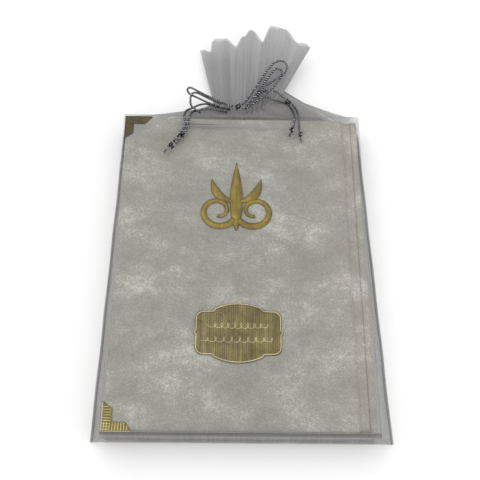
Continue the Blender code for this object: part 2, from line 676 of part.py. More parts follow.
# ---------------------------------------------------------------- cords
# Routes of the doubled drawstring, tied in a bow in front of the neck. Each strand starts at the
# bow or where it comes out of the channel.
CORD_ROUTES = {
    "cord_left_loop": [
        (-0.0048, 0.0930, 0.0115), (-0.0083, 0.0940, 0.0116), (-0.0111, 0.0951, 0.0118),
        (-0.0155, 0.0974, 0.0121), (-0.0196, 0.0995, 0.0124), (-0.0236, 0.1016, 0.0128),
        (-0.0268, 0.1033, 0.0131), (-0.0284, 0.1039, 0.0124), (-0.0292, 0.1039, 0.0108),
        (-0.0287, 0.1033, 0.0091), (-0.0273, 0.1023, 0.0084), (-0.0243, 0.1007, 0.0085),
        (-0.0215, 0.0988, 0.0089), (-0.0180, 0.0966, 0.0093), (-0.0145, 0.0949, 0.0097),
        (-0.0110, 0.0936, 0.0100), (-0.0075, 0.0925, 0.0103), (-0.0048, 0.0920, 0.0105),
    ],
    "cord_left_hook": [
        (-0.0110, 0.0958, 0.0095), (-0.0143, 0.0974, 0.0096), (-0.0175, 0.0989, 0.0099),
        (-0.0207, 0.1004, 0.0104), (-0.0235, 0.1016, 0.0109), (-0.0258, 0.1019, 0.0108),
        (-0.0270, 0.1008, 0.0104), (-0.0274, 0.0985, 0.0100), (-0.0273, 0.0957, 0.0103),
        (-0.0267, 0.0928, 0.0113), (-0.0255, 0.0905, 0.0127), (-0.0236, 0.0886, 0.0134),
        (-0.0218, 0.0868, 0.0136),
    ],
    "cord_left_tail_a": [
        (-0.0067, 0.0921, 0.0093), (-0.0099, 0.0935, 0.0086), (-0.0131, 0.0946, 0.0082),
        (-0.0161, 0.0959, 0.0078), (-0.0190, 0.0969, 0.0076), (-0.0218, 0.0965, 0.0077),
        (-0.0244, 0.0948, 0.0083), (-0.0267, 0.0925, 0.0094), (-0.0286, 0.0903, 0.0111),
        (-0.0296, 0.0866, 0.0143), (-0.0299, 0.0826, 0.0169), (-0.0297, 0.0800, 0.0173),
        (-0.0292, 0.0782, 0.0171), (-0.0295, 0.0757, 0.0171), (-0.0303, 0.0730, 0.0171),
        (-0.0315, 0.0709, 0.0171), (-0.0328, 0.0691, 0.0171), (-0.0340, 0.0673, 0.0171),
        (-0.0347, 0.0659, 0.0171),
    ],
    "cord_left_tail_b": [
        (-0.0080, 0.0905, 0.0096), (-0.0113, 0.0919, 0.0090), (-0.0157, 0.0926, 0.0090),
        (-0.0200, 0.0919, 0.0094), (-0.0237, 0.0904, 0.0103), (-0.0257, 0.0875, 0.0134),
        (-0.0267, 0.0831, 0.0168), (-0.0275, 0.0799, 0.0173), (-0.0280, 0.0776, 0.0171),
        (-0.0283, 0.0749, 0.0171), (-0.0290, 0.0722, 0.0171), (-0.0302, 0.0699, 0.0171),
        (-0.0315, 0.0679, 0.0171), (-0.0327, 0.0661, 0.0171), (-0.0336, 0.0649, 0.0171),
    ],
    "cord_right_loop_outer": [
        (0.0004, 0.0936, 0.0119), (0.0032, 0.0975, 0.0120), (0.0057, 0.1017, 0.0122),
        (0.0085, 0.1062, 0.0126), (0.0108, 0.1104, 0.0132), (0.0133, 0.1141, 0.0146),
        (0.0164, 0.1175, 0.0162), (0.0203, 0.1195, 0.0169), (0.0236, 0.1189, 0.0159),
        (0.0243, 0.1156, 0.0148), (0.0220, 0.1115, 0.0139), (0.0191, 0.1069, 0.0142),
        (0.0163, 0.1028, 0.0144), (0.0132, 0.1000, 0.0136), (0.0096, 0.0967, 0.0126),
        (0.0058, 0.0939, 0.0119), (0.0028, 0.0923, 0.0113), (0.0004, 0.0918, 0.0108),
    ],
    "cord_right_loop_inner": [
        (0.0028, 0.0937, 0.0110), (0.0051, 0.0970, 0.0112), (0.0078, 0.1013, 0.0116),
        (0.0112, 0.1068, 0.0119), (0.0143, 0.1112, 0.0135), (0.0163, 0.1133, 0.0147),
        (0.0181, 0.1148, 0.0155), (0.0197, 0.1155, 0.0153), (0.0212, 0.1149, 0.0146),
        (0.0217, 0.1134, 0.0138), (0.0209, 0.1119, 0.0133), (0.0183, 0.1099, 0.0131),
        (0.0158, 0.1076, 0.0131), (0.0134, 0.1057, 0.0133), (0.0105, 0.1025, 0.0131),
        (0.0078, 0.0987, 0.0129), (0.0052, 0.0951, 0.0126),
    ],
    "cord_right_tail_a": [
        (0.0085, 0.1004, 0.0104), (0.0104, 0.1022, 0.0112), (0.0130, 0.1031, 0.0122),
        (0.0159, 0.1032, 0.0128), (0.0192, 0.1019, 0.0120), (0.0219, 0.1003, 0.0108),
        (0.0244, 0.0986, 0.0104), (0.0264, 0.0959, 0.0109), (0.0281, 0.0925, 0.0119),
        (0.0291, 0.0877, 0.0149), (0.0294, 0.0835, 0.0171), (0.0295, 0.0806, 0.0173),
        (0.0296, 0.0780, 0.0171), (0.0297, 0.0752, 0.0171), (0.0299, 0.0734, 0.0171),
    ],
    "cord_right_tail_b": [
        (0.0090, 0.0979, 0.0109), (0.0116, 0.0992, 0.0114), (0.0142, 0.0988, 0.0116),
        (0.0170, 0.0980, 0.0110), (0.0201, 0.0974, 0.0103), (0.0230, 0.0968, 0.0101),
        (0.0249, 0.0950, 0.0106), (0.0263, 0.0916, 0.0119), (0.0271, 0.0871, 0.0148),
        (0.0274, 0.0830, 0.0171), (0.0274, 0.0803, 0.0173), (0.0271, 0.0782, 0.0171),
        (0.0265, 0.0760, 0.0171),
    ],
}

# name: (centre, radii, turn about Z in degrees, strands that run through it)
KNOTS = {
    "cord_bow_knot": ((-0.0022, 0.0929, 0.0113), (0.0021, 0.0019, 0.0016), 0, ()),
    "cord_left_tail_knot": ((-0.0311, 0.0702, 0.0176), (0.0021, 0.0017, 0.0015), 55,
                            ("cord_left_tail_a", "cord_left_tail_b")),
    "cord_left_end_bead": ((-0.0361, 0.0634, 0.0177), (0.0023, 0.0016, 0.0016), 50, ()),
    "cord_right_tail_knot": ((0.0244, 0.0970, 0.0109), (0.0021, 0.0017, 0.0015), -50,
                             ("cord_right_tail_a", "cord_right_tail_b")),
    "cord_right_end_knot_a": ((0.0301, 0.0714, 0.0176), (0.0014, 0.0016, 0.0014), 0, ()),
    "cord_right_end_knot_b": ((0.0258, 0.0741, 0.0176), (0.0014, 0.0016, 0.0014), 20, ()),
}

# name: (thin end, frayed end)
FRAYED_TIPS = {
    "cord_left_frayed_tip": ((-0.0379, 0.0613, 0.0173), (-0.0396, 0.0592, 0.0171)),
    "cord_right_frayed_tip_a": ((0.0302, 0.0694, 0.0173), (0.0303, 0.0664, 0.0171)),
    "cord_right_frayed_tip_b": ((0.0251, 0.0722, 0.0173), (0.0243, 0.0700, 0.0171)),
}


def smooth_route(route, spacing):
    """Points at an even spacing along the smooth curve through a route's own points."""
    points = [Vector(point) for point in route]
    points = [2 * points[0] - points[1]] + points + [2 * points[-1] - points[-2]]
    fine = []
    for index in range(1, len(points) - 2):
        before, start, stop, after = points[index - 1:index + 3]
        for step in range(20):
            t = step / 20
            fine.append(0.5 * (2 * start + (stop - before) * t
                               + (2 * before - 5 * start + 4 * stop - after) * t ** 2
                               + (3 * start - before - 3 * stop + after) * t ** 3))
    fine.append(points[-2])
    reached = [0.0]
    for first, second in zip(fine, fine[1:]):
        reached.append(reached[-1] + (second - first).length)
    count = max(2, round(reached[-1] / spacing))
    even = []
    index = 0
    for step in range(count + 1):
        target = reached[-1] * step / count
        while index < len(fine) - 2 and reached[index + 1] < target:
            index += 1
        run = reached[index + 1] - reached[index]
        even.append(fine[index].lerp(fine[index + 1], (target - reached[index]) / run))
    return even


def cord_tube(name, route, radius, mat, collection=PARTS):
    curve = bpy.data.curves.new(name, "CURVE")
    curve.dimensions = "3D"
    curve.bevel_depth = radius
    curve.bevel_resolution = 2
    curve.use_fill_caps = True
    spline = curve.splines.new("POLY")
    points = smooth_route(route, CORD_POINT_SPACING)
    spline.points.add(len(points) - 1)
    for point, place in zip(spline.points, points):
        point.co = (*place, 1)
    tube = bpy.data.objects.new(name, curve)
    PARTS.objects.link(tube)
    return adopt(mesh_from_curve(tube), name, mat, None, collection)


def cord_knot(name, centre, radii, turn, strands, mat):
    bpy.ops.mesh.primitive_uv_sphere_add(segments=14, ring_count=8, radius=1, location=centre,
                                         rotation=(0, 0, math.radians(turn)))
    knot = bpy.context.object
    knot.scale = radii
    bpy.ops.object.transform_apply(location=False, rotation=True, scale=True)
    adopt(knot, name, mat)
    for polygon in knot.data.polygons:
        polygon.use_smooth = True
    for strand in strands:
        passage = cord_tube(f"{name}_{strand}_passage", CORD_ROUTES[strand],
                            CORD_RADIUS + KNOT_CLEARANCE, None, CUTTERS)
        boolean(knot, passage)


def frayed_tip(name, thin, frayed, mat):
    thin = Vector(thin)
    frayed = Vector(frayed)
    run = frayed - thin
    bpy.ops.mesh.primitive_cone_add(vertices=10, radius1=FRAY_THIN, radius2=FRAY_WIDE,
                                    depth=run.length, location=(thin + frayed) / 2,
                                    rotation=run.to_track_quat("Z", "Y").to_euler())
    adopt(bpy.context.object, name, mat)


def cords():
    mat = material("metallic_cord", CORD_BLACK, 0.4, 0.3)
    for name, route in CORD_ROUTES.items():
        cord_tube(name, route, CORD_RADIUS, mat)
    for name, (centre, radii, turn, strands) in KNOTS.items():
        cord_knot(name, centre, radii, turn, strands, mat)
    for name, (thin, frayed) in FRAYED_TIPS.items():
        frayed_tip(name, thin, frayed, mat)


# ---------------------------------------------------------------- assembly
def main():
    book_axis = axis_empty("book_slide_axis", (0, 0, 0))
    cover_axis = axis_empty("front_cover_axis", (HINGE_X, 0, HINGE_Z))
    leaf_axis = axis_empty("leaf_axis", (BLOCK_SPINE, 0, BLOCK_TOP))

    cover("back", BOOK_LIFT, 1, JOINT_END, book_axis)
    cover("front", COVER_TOP, -1, JOINT_END, cover_axis)
    for end_name, end in (("head", 1), ("tail", -1)):
        metal_corner(f"front_{end_name}_corner", COVER_TOP, -1, end, cover_axis)
        metal_corner(f"back_{end_name}_corner", BOOK_LIFT, 1, end, book_axis)
    spine(book_axis)
    page_block(book_axis, leaf_axis)
    ornament(cover_axis)
    name_plate(cover_axis)
    pouch()
    cords()


main()
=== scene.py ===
"""Looks of the velvet prayer book in its organza drawstring pouch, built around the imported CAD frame.

Metres, in the frame's axes: +Z up, the book's tail towards -Y, its head and the pouch's neck
towards +Y, its fore-edge at -X and its spine at +X.
"""
import random
from math import asin, copysign, cos, degrees, exp, hypot, pi, radians, sin

import bmesh
import bpy
import numpy as np
from mathutils import Matrix, Vector


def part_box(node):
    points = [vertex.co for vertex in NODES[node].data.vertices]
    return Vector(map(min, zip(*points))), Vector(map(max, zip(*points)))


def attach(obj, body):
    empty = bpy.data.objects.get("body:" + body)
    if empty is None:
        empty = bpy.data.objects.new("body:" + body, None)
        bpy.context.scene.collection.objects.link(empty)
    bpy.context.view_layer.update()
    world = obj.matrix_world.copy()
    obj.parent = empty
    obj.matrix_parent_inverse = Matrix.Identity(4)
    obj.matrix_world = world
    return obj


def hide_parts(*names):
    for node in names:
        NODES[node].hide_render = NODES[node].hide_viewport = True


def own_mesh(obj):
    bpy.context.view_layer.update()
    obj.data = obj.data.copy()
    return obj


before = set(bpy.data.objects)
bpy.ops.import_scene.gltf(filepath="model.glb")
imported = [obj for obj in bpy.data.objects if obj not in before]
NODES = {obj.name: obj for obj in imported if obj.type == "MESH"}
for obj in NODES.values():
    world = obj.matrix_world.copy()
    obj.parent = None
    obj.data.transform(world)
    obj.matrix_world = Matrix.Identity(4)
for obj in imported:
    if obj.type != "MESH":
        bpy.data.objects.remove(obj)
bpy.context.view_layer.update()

COVER_LOW, COVER_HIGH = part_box("front_cover_velvet")
BACK_LOW, BACK_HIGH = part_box("back_cover_velvet")
SPINE_LOW, SPINE_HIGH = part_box("spine_velvet")
PLATE_LOW, PLATE_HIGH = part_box("name_plate")
LEAF_LOW, LEAF_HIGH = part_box("ornament")


# ---------------------------------------------------------------- camera, light and floor
def set_inputs(node, **values):
    """Set a shader node's sockets; an underscore stands for a space in a socket's name."""
    for key, value in values.items():
        node.inputs[key.replace("_", " ")].default_value = value


def link_object(name, data):
    """A new object of the data, linked to the scene."""
    obj = bpy.data.objects.new(name, data)
    bpy.context.scene.collection.objects.link(obj)
    return obj


def look_from(azimuth, elevation, roll, distance, target, focal):
    """Camera at an azimuth and elevation in degrees about the target, turned by roll."""
    around = radians(azimuth)
    rise = radians(elevation)
    towards = Vector((sin(around) * cos(rise), -cos(around) * cos(rise),
                      sin(rise)))
    data = bpy.data.cameras.new("camera")
    data.lens = focal
    data.sensor_width = 36.0
    data.clip_start = 0.01
    camera = link_object("camera", data)
    turn = (-towards).to_track_quat("-Z", "Y").to_matrix().to_4x4()
    camera.matrix_world = (Matrix.Translation(Vector(target) + distance * towards) @ turn
                           @ Matrix.Rotation(radians(roll), 4, "Z"))
    bpy.context.scene.camera = camera


def area_light(name, place, aim, size, power):
    data = bpy.data.lights.new(name, "AREA")
    data.shape = "DISK"
    data.size = size
    data.energy = power
    lamp = link_object(name, data)
    lamp.location = place
    lamp.rotation_euler = (Vector(aim) - Vector(place)).to_track_quat("-Z", "Y").to_euler()


def studio():
    scene = bpy.context.scene
    scene.view_settings.view_transform = "Standard"
    world = bpy.data.worlds.new("studio")
    world.use_nodes = True
    set_inputs(world.node_tree.nodes["Background"], Color=(1.0, 1.0, 1.0, 1.0), Strength=0.78)
    scene.world = world
    area_light("key", (-0.26, 0.26, 0.80), (0, 0.02, 0), 1.20, 3.3)
    area_light("fill", (0.45, -0.45, 0.60), (0, 0, 0), 0.90, 1.6)
    bpy.ops.mesh.primitive_plane_add(size=8, location=(0, 0, -0.0003))
    floor = bpy.context.object
    floor.name = "floor"
    paper = bpy.data.materials.new("floor_paper")
    paper.use_nodes = True
    set_inputs(paper.node_tree.nodes["Principled BSDF"], Base_Color=(0.93, 0.93, 0.93, 1), Roughness=0.9)
    floor.data.materials.append(paper)


look_from(azimuth=-2.073, elevation=62.385, roll=2.565, distance=0.42158,
          target=(-0.00041, 0.01813, 0.0011), focal=63.06)
studio()


# ---------------------------------------------------------------- material helpers
class Shader:
    """A node material with short ways to add and link what the recipes below need."""

    def __init__(self, name, roughness, metallic=0.0):
        self.mat = bpy.data.materials.new(name)
        self.mat.use_nodes = True
        self.tree = self.mat.node_tree
        self.bsdf = self.tree.nodes["Principled BSDF"]
        set_inputs(self.bsdf, Roughness=roughness, Metallic=metallic)
        self.place = self.add("ShaderNodeTexCoord").outputs["Object"]

    def add(self, kind, **settings):
        node = self.tree.nodes.new(kind)
        for key, value in settings.items():
            setattr(node, key, value)
        return node

    def link(self, source, target):
        self.tree.links.new(source, target)

    def stretch(self, scale, turn=(0, 0, 0)):
        node = self.add("ShaderNodeMapping")
        set_inputs(node, Scale=scale, Rotation=[radians(angle) for angle in turn])
        self.link(self.place, node.inputs["Vector"])
        return node.outputs["Vector"]

    def noise(self, scale, detail=3.0, rough=0.55, stretch=(1, 1, 1), turn=(0, 0, 0)):
        node = self.add("ShaderNodeTexNoise")
        set_inputs(node, Scale=scale, Detail=detail, Roughness=rough)
        self.link(self.stretch(stretch, turn), node.inputs["Vector"])
        return node.outputs["Fac"]

    def wave(self, scale, direction="X", distortion=0.0):
        node = self.add("ShaderNodeTexWave", bands_direction=direction)
        set_inputs(node, Scale=scale, Distortion=distortion)
        self.link(self.stretch((1, 1, 1)), node.inputs["Vector"])
        return node.outputs["Fac"]

    def axis(self, letter):
        node = self.add("ShaderNodeSeparateXYZ")
        self.link(self.place, node.inputs["Vector"])
        return node.outputs[letter]

    def attribute(self, name):
        return self.add("ShaderNodeAttribute", attribute_name=name).outputs["Fac"]

    def streaks(self, across_scale, along_scale, detail):
        """Noise drawn out along the cloth, in the mesh's own across and along coordinates."""
        flat = self.add("ShaderNodeCombineXYZ")
        self.link(self.times(self.attribute("across"), across_scale), flat.inputs["X"])
        self.link(self.times(self.attribute("along"), along_scale), flat.inputs["Y"])
        node = self.add("ShaderNodeTexNoise")
        set_inputs(node, Scale=1.0, Detail=detail)
        self.link(flat.outputs["Vector"], node.inputs["Vector"])
        return node.outputs["Fac"]

    def ramp(self, source, stops):
        node = self.add("ShaderNodeValToRGB")
        points = node.color_ramp.elements
        while len(points) < len(stops):
            points.new(0.5)
        for point, (position, colour) in zip(points, stops):
            point.position = position
            point.color = (*colour, 1.0) if len(colour) == 3 else colour
        self.link(source, node.inputs["Fac"])
        return node.outputs["Color"]

    def maths(self, operation, first, second, clamp=False):
        node = self.add("ShaderNodeMath", operation=operation, use_clamp=clamp)
        for socket, value in zip(node.inputs, (first, second)):
            if isinstance(value, (int, float)):
                socket.default_value = value
            else:
                self.link(value, socket)
        return node.outputs["Value"]

    def times(self, first, second, clamp=False):
        return self.maths("MULTIPLY", first, second, clamp)

    def plus(self, first, second, clamp=False):
        return self.maths("ADD", first, second, clamp)

    def mix(self, share, first, second, blend="MIX"):
        node = self.add("ShaderNodeMix", data_type="RGBA", blend_type=blend)
        sockets = [s for s in node.inputs if s.enabled]
        for socket, value in zip(sockets, (share, first, second)):
            if isinstance(value, (int, float)):
                socket.default_value = value
            elif isinstance(value, tuple):
                socket.default_value = (*value, 1.0)
            else:
                self.link(value, socket)
        return [s for s in node.outputs if s.enabled][0]

    def bump(self, height, strength, distance):
        node = self.add("ShaderNodeBump")
        set_inputs(node, Strength=strength, Distance=distance)
        self.link(height, node.inputs["Height"])
        self.link(node.outputs["Normal"], self.bsdf.inputs["Normal"])

    def colour(self, source):
        self.link(source, self.bsdf.inputs["Base Color"])

    def sheen(self, weight, roughness, tint):
        set_inputs(self.bsdf, Sheen_Weight=weight, Sheen_Roughness=roughness, Sheen_Tint=(*tint, 1.0))


def grey(value):
    return (value, value, value)


def shade(colour, share):
    return tuple(share * channel for channel in colour)


def velvet_material():
    """Crushed velvet: large nap patches, brushed flecks and a fine pile, pinker to the spine."""
    s = Shader("crushed_velvet", 0.85)
    patches = s.noise(58, 6, 0.72, (0.7, 1, 1), (0, 0, 28))
    flecks = s.noise(1300, 4, 0.80, (0.80, 1, 1), (0, 0, 28))
    pile = s.noise(2100, 2, 0.6)
    brushed = s.ramp(flecks, [(0.38, grey(0.0)), (0.62, grey(1.0))])
    nap = s.plus(s.times(patches, 0.60), s.times(brushed, 0.12))
    cloth = s.ramp(nap, [(0.26, (0.322, 0.318, 0.272)), (0.33, (0.370, 0.366, 0.318)),
                         (0.40, (0.425, 0.421, 0.371)), (0.50, (0.70, 0.695, 0.64))])
    right = s.ramp(s.plus(s.times(s.axis("X"), 7.0), 0.5),
                   [(0.62, grey(0.0)), (0.95, grey(0.80))])
    blush = s.mix(right, cloth, (1.17, 1.08, 1.09), "MULTIPLY")
    grain = s.ramp(pile, [(0.38, grey(0.76)), (0.62, grey(1.0))])
    s.colour(s.mix(1.0, blush, grain, "MULTIPLY"))
    s.bump(s.plus(s.times(flecks, 0.7), s.times(pile, 0.3)),
           0.60, 0.0005)
    s.sheen(0.35, 0.35, (1.0, 0.99, 0.95))
    return s.mat


def organza_material(name, tint, low, high, fold_shade_contrast):
    """Sheer weave, with painted light and shade streaked along the folding cloth. The mesh's gather
    attribute says how closely the cloth is gathered; where it is highest the colour is also darkened,
    painted shade.
    """
    s = Shader(name, 0.45)
    threads = s.maths("MAXIMUM", s.wave(1500, "X"), s.wave(1500, "Y"))
    # Painted light and shade: the fold streaks make the colour lighter and darker along the cloth's soft
    # fold lines; slub is the weave's own unevenness.
    fold_shading = s.streaks(5.0, 1.2, 2.0)
    slub = s.streaks(60.0, 3.0, 3.0)
    mottle = s.plus(s.times(fold_shading, 0.78), s.times(slub, 0.22))
    dark = shade(tint, 1 - fold_shade_contrast)
    light = shade(tint, 1 + fold_shade_contrast)
    cloth = s.ramp(mottle, [(0.36, dark), (0.62, light)])
    # Painted shade: where the gather value passes 4.1, on the cloth turning down over the tail and in
    # the tuck, the colour is darkened towards 40% of the tint.
    painted_shade = s.times(s.maths("SUBTRACT", s.attribute("gather"), 4.1), 0.75, clamp=True)
    s.colour(s.mix(painted_shade, cloth, shade(tint, 0.40)))
    weave = s.plus(low, s.times(threads, high - low))
    cover = s.plus(weave, s.times(s.maths("SUBTRACT", slub, 0.5), 0.16))
    s.link(s.times(cover, s.attribute("gather"), clamp=True), s.bsdf.inputs["Alpha"])
    s.bump(threads, 0.25, 0.0001)
    s.sheen(0.25, 0.3, (1, 1, 1))
    return s.mat


def gilt_material(name, dark, light, roughness, ribs=0.0, stripes=0.0):
    """Gold-coloured metal with tarnish, scratches and, where asked, brush lines and stripes."""
    s = Shader(name, roughness, 1.0)
    tarnish = s.noise(140, 4, 0.6)
    colour = s.ramp(tarnish, [(0.32, dark), (0.66, light)])
    scratches = s.noise(900, 2, 0.5, (1, 0.06, 1))
    worn = s.times(scratches, 0.45 + ribs)
    if stripes:
        worn = s.plus(worn, s.times(s.wave(314, "X", 1.5), stripes), clamp=True)
    s.colour(s.mix(worn, colour, shade(dark, 0.45)))
    s.link(s.ramp(scratches, [(0.3, grey(roughness * 0.7)), (0.7, grey(min(1.0, roughness * 1.5)))]),
           s.bsdf.inputs["Roughness"])
    s.bump(scratches, 0.25 + ribs * 0.5, 0.00015)
    return s.mat


def paper_material(name, colour, edge_lines):
    """Paper with fibres and a yellowed tone; edge_lines draws the leaves on the block's edges."""
    s = Shader(name, 0.8)
    fibres = s.noise(1200, 3, 0.6, (1, 0.5, 1))
    age = s.noise(25, 2, 0.5)
    tone = s.ramp(age, [(0.3, shade(colour, 0.93)), (0.7, colour)])
    tone = s.mix(s.times(fibres, 0.18), tone, shade(colour, 0.8))
    if edge_lines:
        leaves = s.wave(5200, "Z", 0.4)
        side = s.add("ShaderNodeSeparateXYZ")
        s.link(s.add("ShaderNodeNewGeometry").outputs["Normal"], side.inputs["Vector"])
        upright = s.maths("SUBTRACT", 1.0, s.maths("ABSOLUTE", side.outputs["Z"], 0.0), clamp=True)
        tone = s.mix(s.times(s.times(leaves, upright), 0.55), tone,
                     shade(colour, 0.5))
        s.bump(s.times(leaves, upright), 0.5, 0.00008)
    s.colour(tone)
    return s.mat


def board_material():
    s = Shader("greyboard", 0.95)
    s.colour(s.ramp(s.noise(600, 4, 0.7), [(0.3, (0.22, 0.20, 0.18)), (0.7, (0.42, 0.39, 0.35))]))
    s.bump(s.noise(900, 3, 0.6), 0.4, 0.0001)
    return s.mat


def woven_material(name, first, second, pitch):
    """Cross-woven tape or mull in two thread colours."""
    s = Shader(name, 0.85)
    weave = s.times(s.wave(pitch, "Y"), s.wave(pitch, "Z"))
    s.colour(s.mix(s.ramp(weave, [(0.2, grey(0)), (0.5, grey(1))]), first, second))
    s.bump(weave, 0.6, 0.0002)
    return s.mat


def thread_material(name, colour, metallic, roughness, specular):
    s = Shader(name, roughness, metallic)
    set_inputs(s.bsdf, Specular_IOR_Level=specular)
    glint = s.noise(1900, 2, 0.7)
    s.colour(s.ramp(glint, [(0.36, shade(colour, 0.45)), (0.62, colour)]))
    s.bump(s.noise(3400, 2, 0.6), 0.5, 0.0001)
    return s.mat


VELVET = velvet_material()
ORGANZA = organza_material("organza", (0.270, 0.265, 0.260), 0.07, 0.21, 0.12)
ORGANZA_FRILL = organza_material("organza_frill", (0.274, 0.269, 0.274), 0.40, 0.58, 0.20)
SEAM = organza_material("organza_seam", (0.300, 0.294, 0.286), 0.42, 0.60, 0.10)
GILT = gilt_material("polished_gilt", (0.085, 0.060, 0.004), (0.330, 0.245, 0.034), 0.22, 0.2)
# Rib gilt far lighter than the corner it lies on: painted highlight.
RIB_HIGHLIGHT_GOLD = gilt_material("stamped_rib_highlight_gilt", (0.750, 0.620, 0.220), (1.000, 0.900, 0.480), 0.16)
# The head corners' gilt: a darker copy of the corners' gilt, painted shade.
HEAD_CORNER_SHADE_GILT = gilt_material("shaded_gilt", (0.050, 0.031, 0.0005), (0.105, 0.072, 0.002), 0.34)
GILT_DULL = gilt_material("ornament_gilt", (0.170, 0.112, 0.004), (0.360, 0.255, 0.014), 0.32)
PLATE_GOLD = gilt_material("brushed_plate", (0.140, 0.106, 0.022), (0.360, 0.290, 0.085), 0.34,
                           ribs=0.3, stripes=0.35)
# Painted highlight: gilt far lighter than the plate and corners that it rims.
RIM_HIGHLIGHT_GOLD = gilt_material("bright_rim", (0.70, 0.58, 0.30), (0.95, 0.84, 0.52), 0.18)
ENDPAPER = paper_material("endpaper", (0.84, 0.80, 0.68), False)
PAGES = paper_material("page_block_paper", (0.86, 0.82, 0.70), True)
BOARD = board_material()
MULL = woven_material("spine_mull", (0.66, 0.62, 0.52), (0.40, 0.37, 0.30), 900)
BAND = woven_material("head_band_thread", (0.80, 0.72, 0.46), (0.52, 0.44, 0.26), 500)
CORD_DARK = thread_material("cord_black_thread", (0.012, 0.013, 0.016), 0.0, 0.60, 0.15)
CORD_SILVER = thread_material("cord_silver_thread", (0.93, 0.95, 0.98), 1.0, 0.18, 0.5)


# ---------------------------------------------------------------- mesh helpers
def place_mesh(name, mesh, mats):
    """A smooth-shaded object of the mesh."""
    for mat in mats:
        mesh.materials.append(mat)
    mesh.polygons.foreach_set("use_smooth", [True] * len(mesh.polygons))
    return link_object(name, mesh)


def new_mesh(name, points, faces, mats, face_mats=None):
    mesh = bpy.data.meshes.new(name)
    mesh.from_pydata([tuple(p) for p in points], [], faces)
    if face_mats is not None:
        mesh.polygons.foreach_set("material_index", face_mats)
    mesh.update()
    return place_mesh(name, mesh, mats)


def store_values(obj, key, values):
    """One number per point, which the organza's shader reads."""
    store = obj.data.attributes.new(key, "FLOAT", "POINT")
    store.data.foreach_set("value", values)


def grid_faces(columns, rows, wrap=False, start=0):
    """Quads over rows of points; wrap joins the last column to the first."""
    across = columns if wrap else columns - 1
    faces = []
    for row in range(rows - 1):
        for column in range(across):
            after = (column + 1) % columns
            a = start + row * columns + column
            b = start + row * columns + after
            faces.append((a, b, b + columns, a + columns))
    return faces


class Bundle:
    """Several closed forms gathered into one mesh."""

    def __init__(self):
        self.points = []
        self.faces = []
        self.mats = []

    def tube(self, rings, mat=0, stripes=None):
        """rings is a list of equally long lists of points; the ends are closed."""
        size = len(rings[0])
        start = len(self.points)
        for ring in rings:
            self.points.extend(ring)
        side = grid_faces(size, len(rings), True, start)
        self.faces.extend(side)
        for index in range(len(side)):
            self.mats.append(stripes[index % size] if stripes else mat)
        last = start + (len(rings) - 1) * size
        self.faces.append(tuple(range(start + size - 1, start - 1, -1)))
        self.faces.append(tuple(range(last, last + size)))
        self.mats.extend([mat, mat])

    def make(self, name, mats):
        return new_mesh(name, self.points, self.faces, mats, self.mats)


def smooth_route(route, spacing, closed=False):
    """Points at an even spacing along the smooth curve through a route's own points."""
    points = [Vector(point) for point in route]
    if closed:
        points = [points[-1]] + points + [points[0], points[1]]
    else:
        points = [2 * points[0] - points[1]] + points + [2 * points[-1] - points[-2]]
    fine = []
    for index in range(1, len(points) - 2):
        before, start, stop, after = points[index - 1:index + 3]
        for step in range(20):
            t = step / 20
            fine.append(0.5 * (2 * start + (stop - before) * t
                               + (2 * before - 5 * start + 4 * stop - after) * t ** 2
                               + (3 * start - before - 3 * stop + after) * t ** 3))
    fine.append(points[-2])
    reached = [0.0]
    for first, second in zip(fine, fine[1:]):
        reached.append(reached[-1] + (second - first).length)
    count = max(2, round(reached[-1] / spacing))
    even = []
    index = 0
    for step in range(count + 1):
        goal = reached[-1] * step / count
        while index < len(fine) - 2 and reached[index + 1] < goal:
            index += 1
        run = max(1e-9, reached[index + 1] - reached[index])
        even.append(fine[index].lerp(fine[index + 1], (goal - reached[index]) / run))
    return even


def frames_along(path):
    """Tangent and two normals at each point, carried along without sudden turns."""
    frames = []
    normal = None
    for index, point in enumerate(path):
        ahead = path[min(index + 1, len(path) - 1)]
        behind = path[max(index - 1, 0)]
        tangent = (ahead - behind).normalized()
        if normal is None:
            normal = tangent.orthogonal().normalized()
        normal = (normal - tangent * normal.dot(tangent)).normalized()
        frames.append((tangent, normal, tangent.cross(normal)))
    return frames


def twisted_rings(path, radius, pitch, strands=3, sides=18):
    """Rings of a laid cord: a lobed section that turns once per pitch."""
    rings = []
    travelled = 0.0
    for index, ((_, normal, other), point) in enumerate(zip(frames_along(path), path)):
        if index:
            travelled += (point - path[index - 1]).length
        turn = 2 * pi * travelled / pitch
        ring = []
        for side in range(sides):
            angle = 2 * pi * side / sides
            lobe = radius * (0.84 + 0.16 * abs(cos(strands * angle / 2)))
            ring.append(point + lobe * (normal * cos(angle + turn) + other * sin(angle + turn)))
        rings.append(ring)
    return rings


def plain_rings(path, radius_at, sides=8):
    rings = []
    for index, ((_, normal, other), point) in enumerate(zip(frames_along(path), path)):
        radius = radius_at(index / max(1, len(path) - 1))
        rings.append([point + radius * (normal * cos(2 * pi * side / sides)
                                        + other * sin(2 * pi * side / sides))
                      for side in range(sides)])
    return rings


def soft_part(piece, slot, *nodes):
    """A piece of the pouch: it rides on it."""
    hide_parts(*nodes)
    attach(piece, "pouch")
    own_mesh(piece)
    return piece
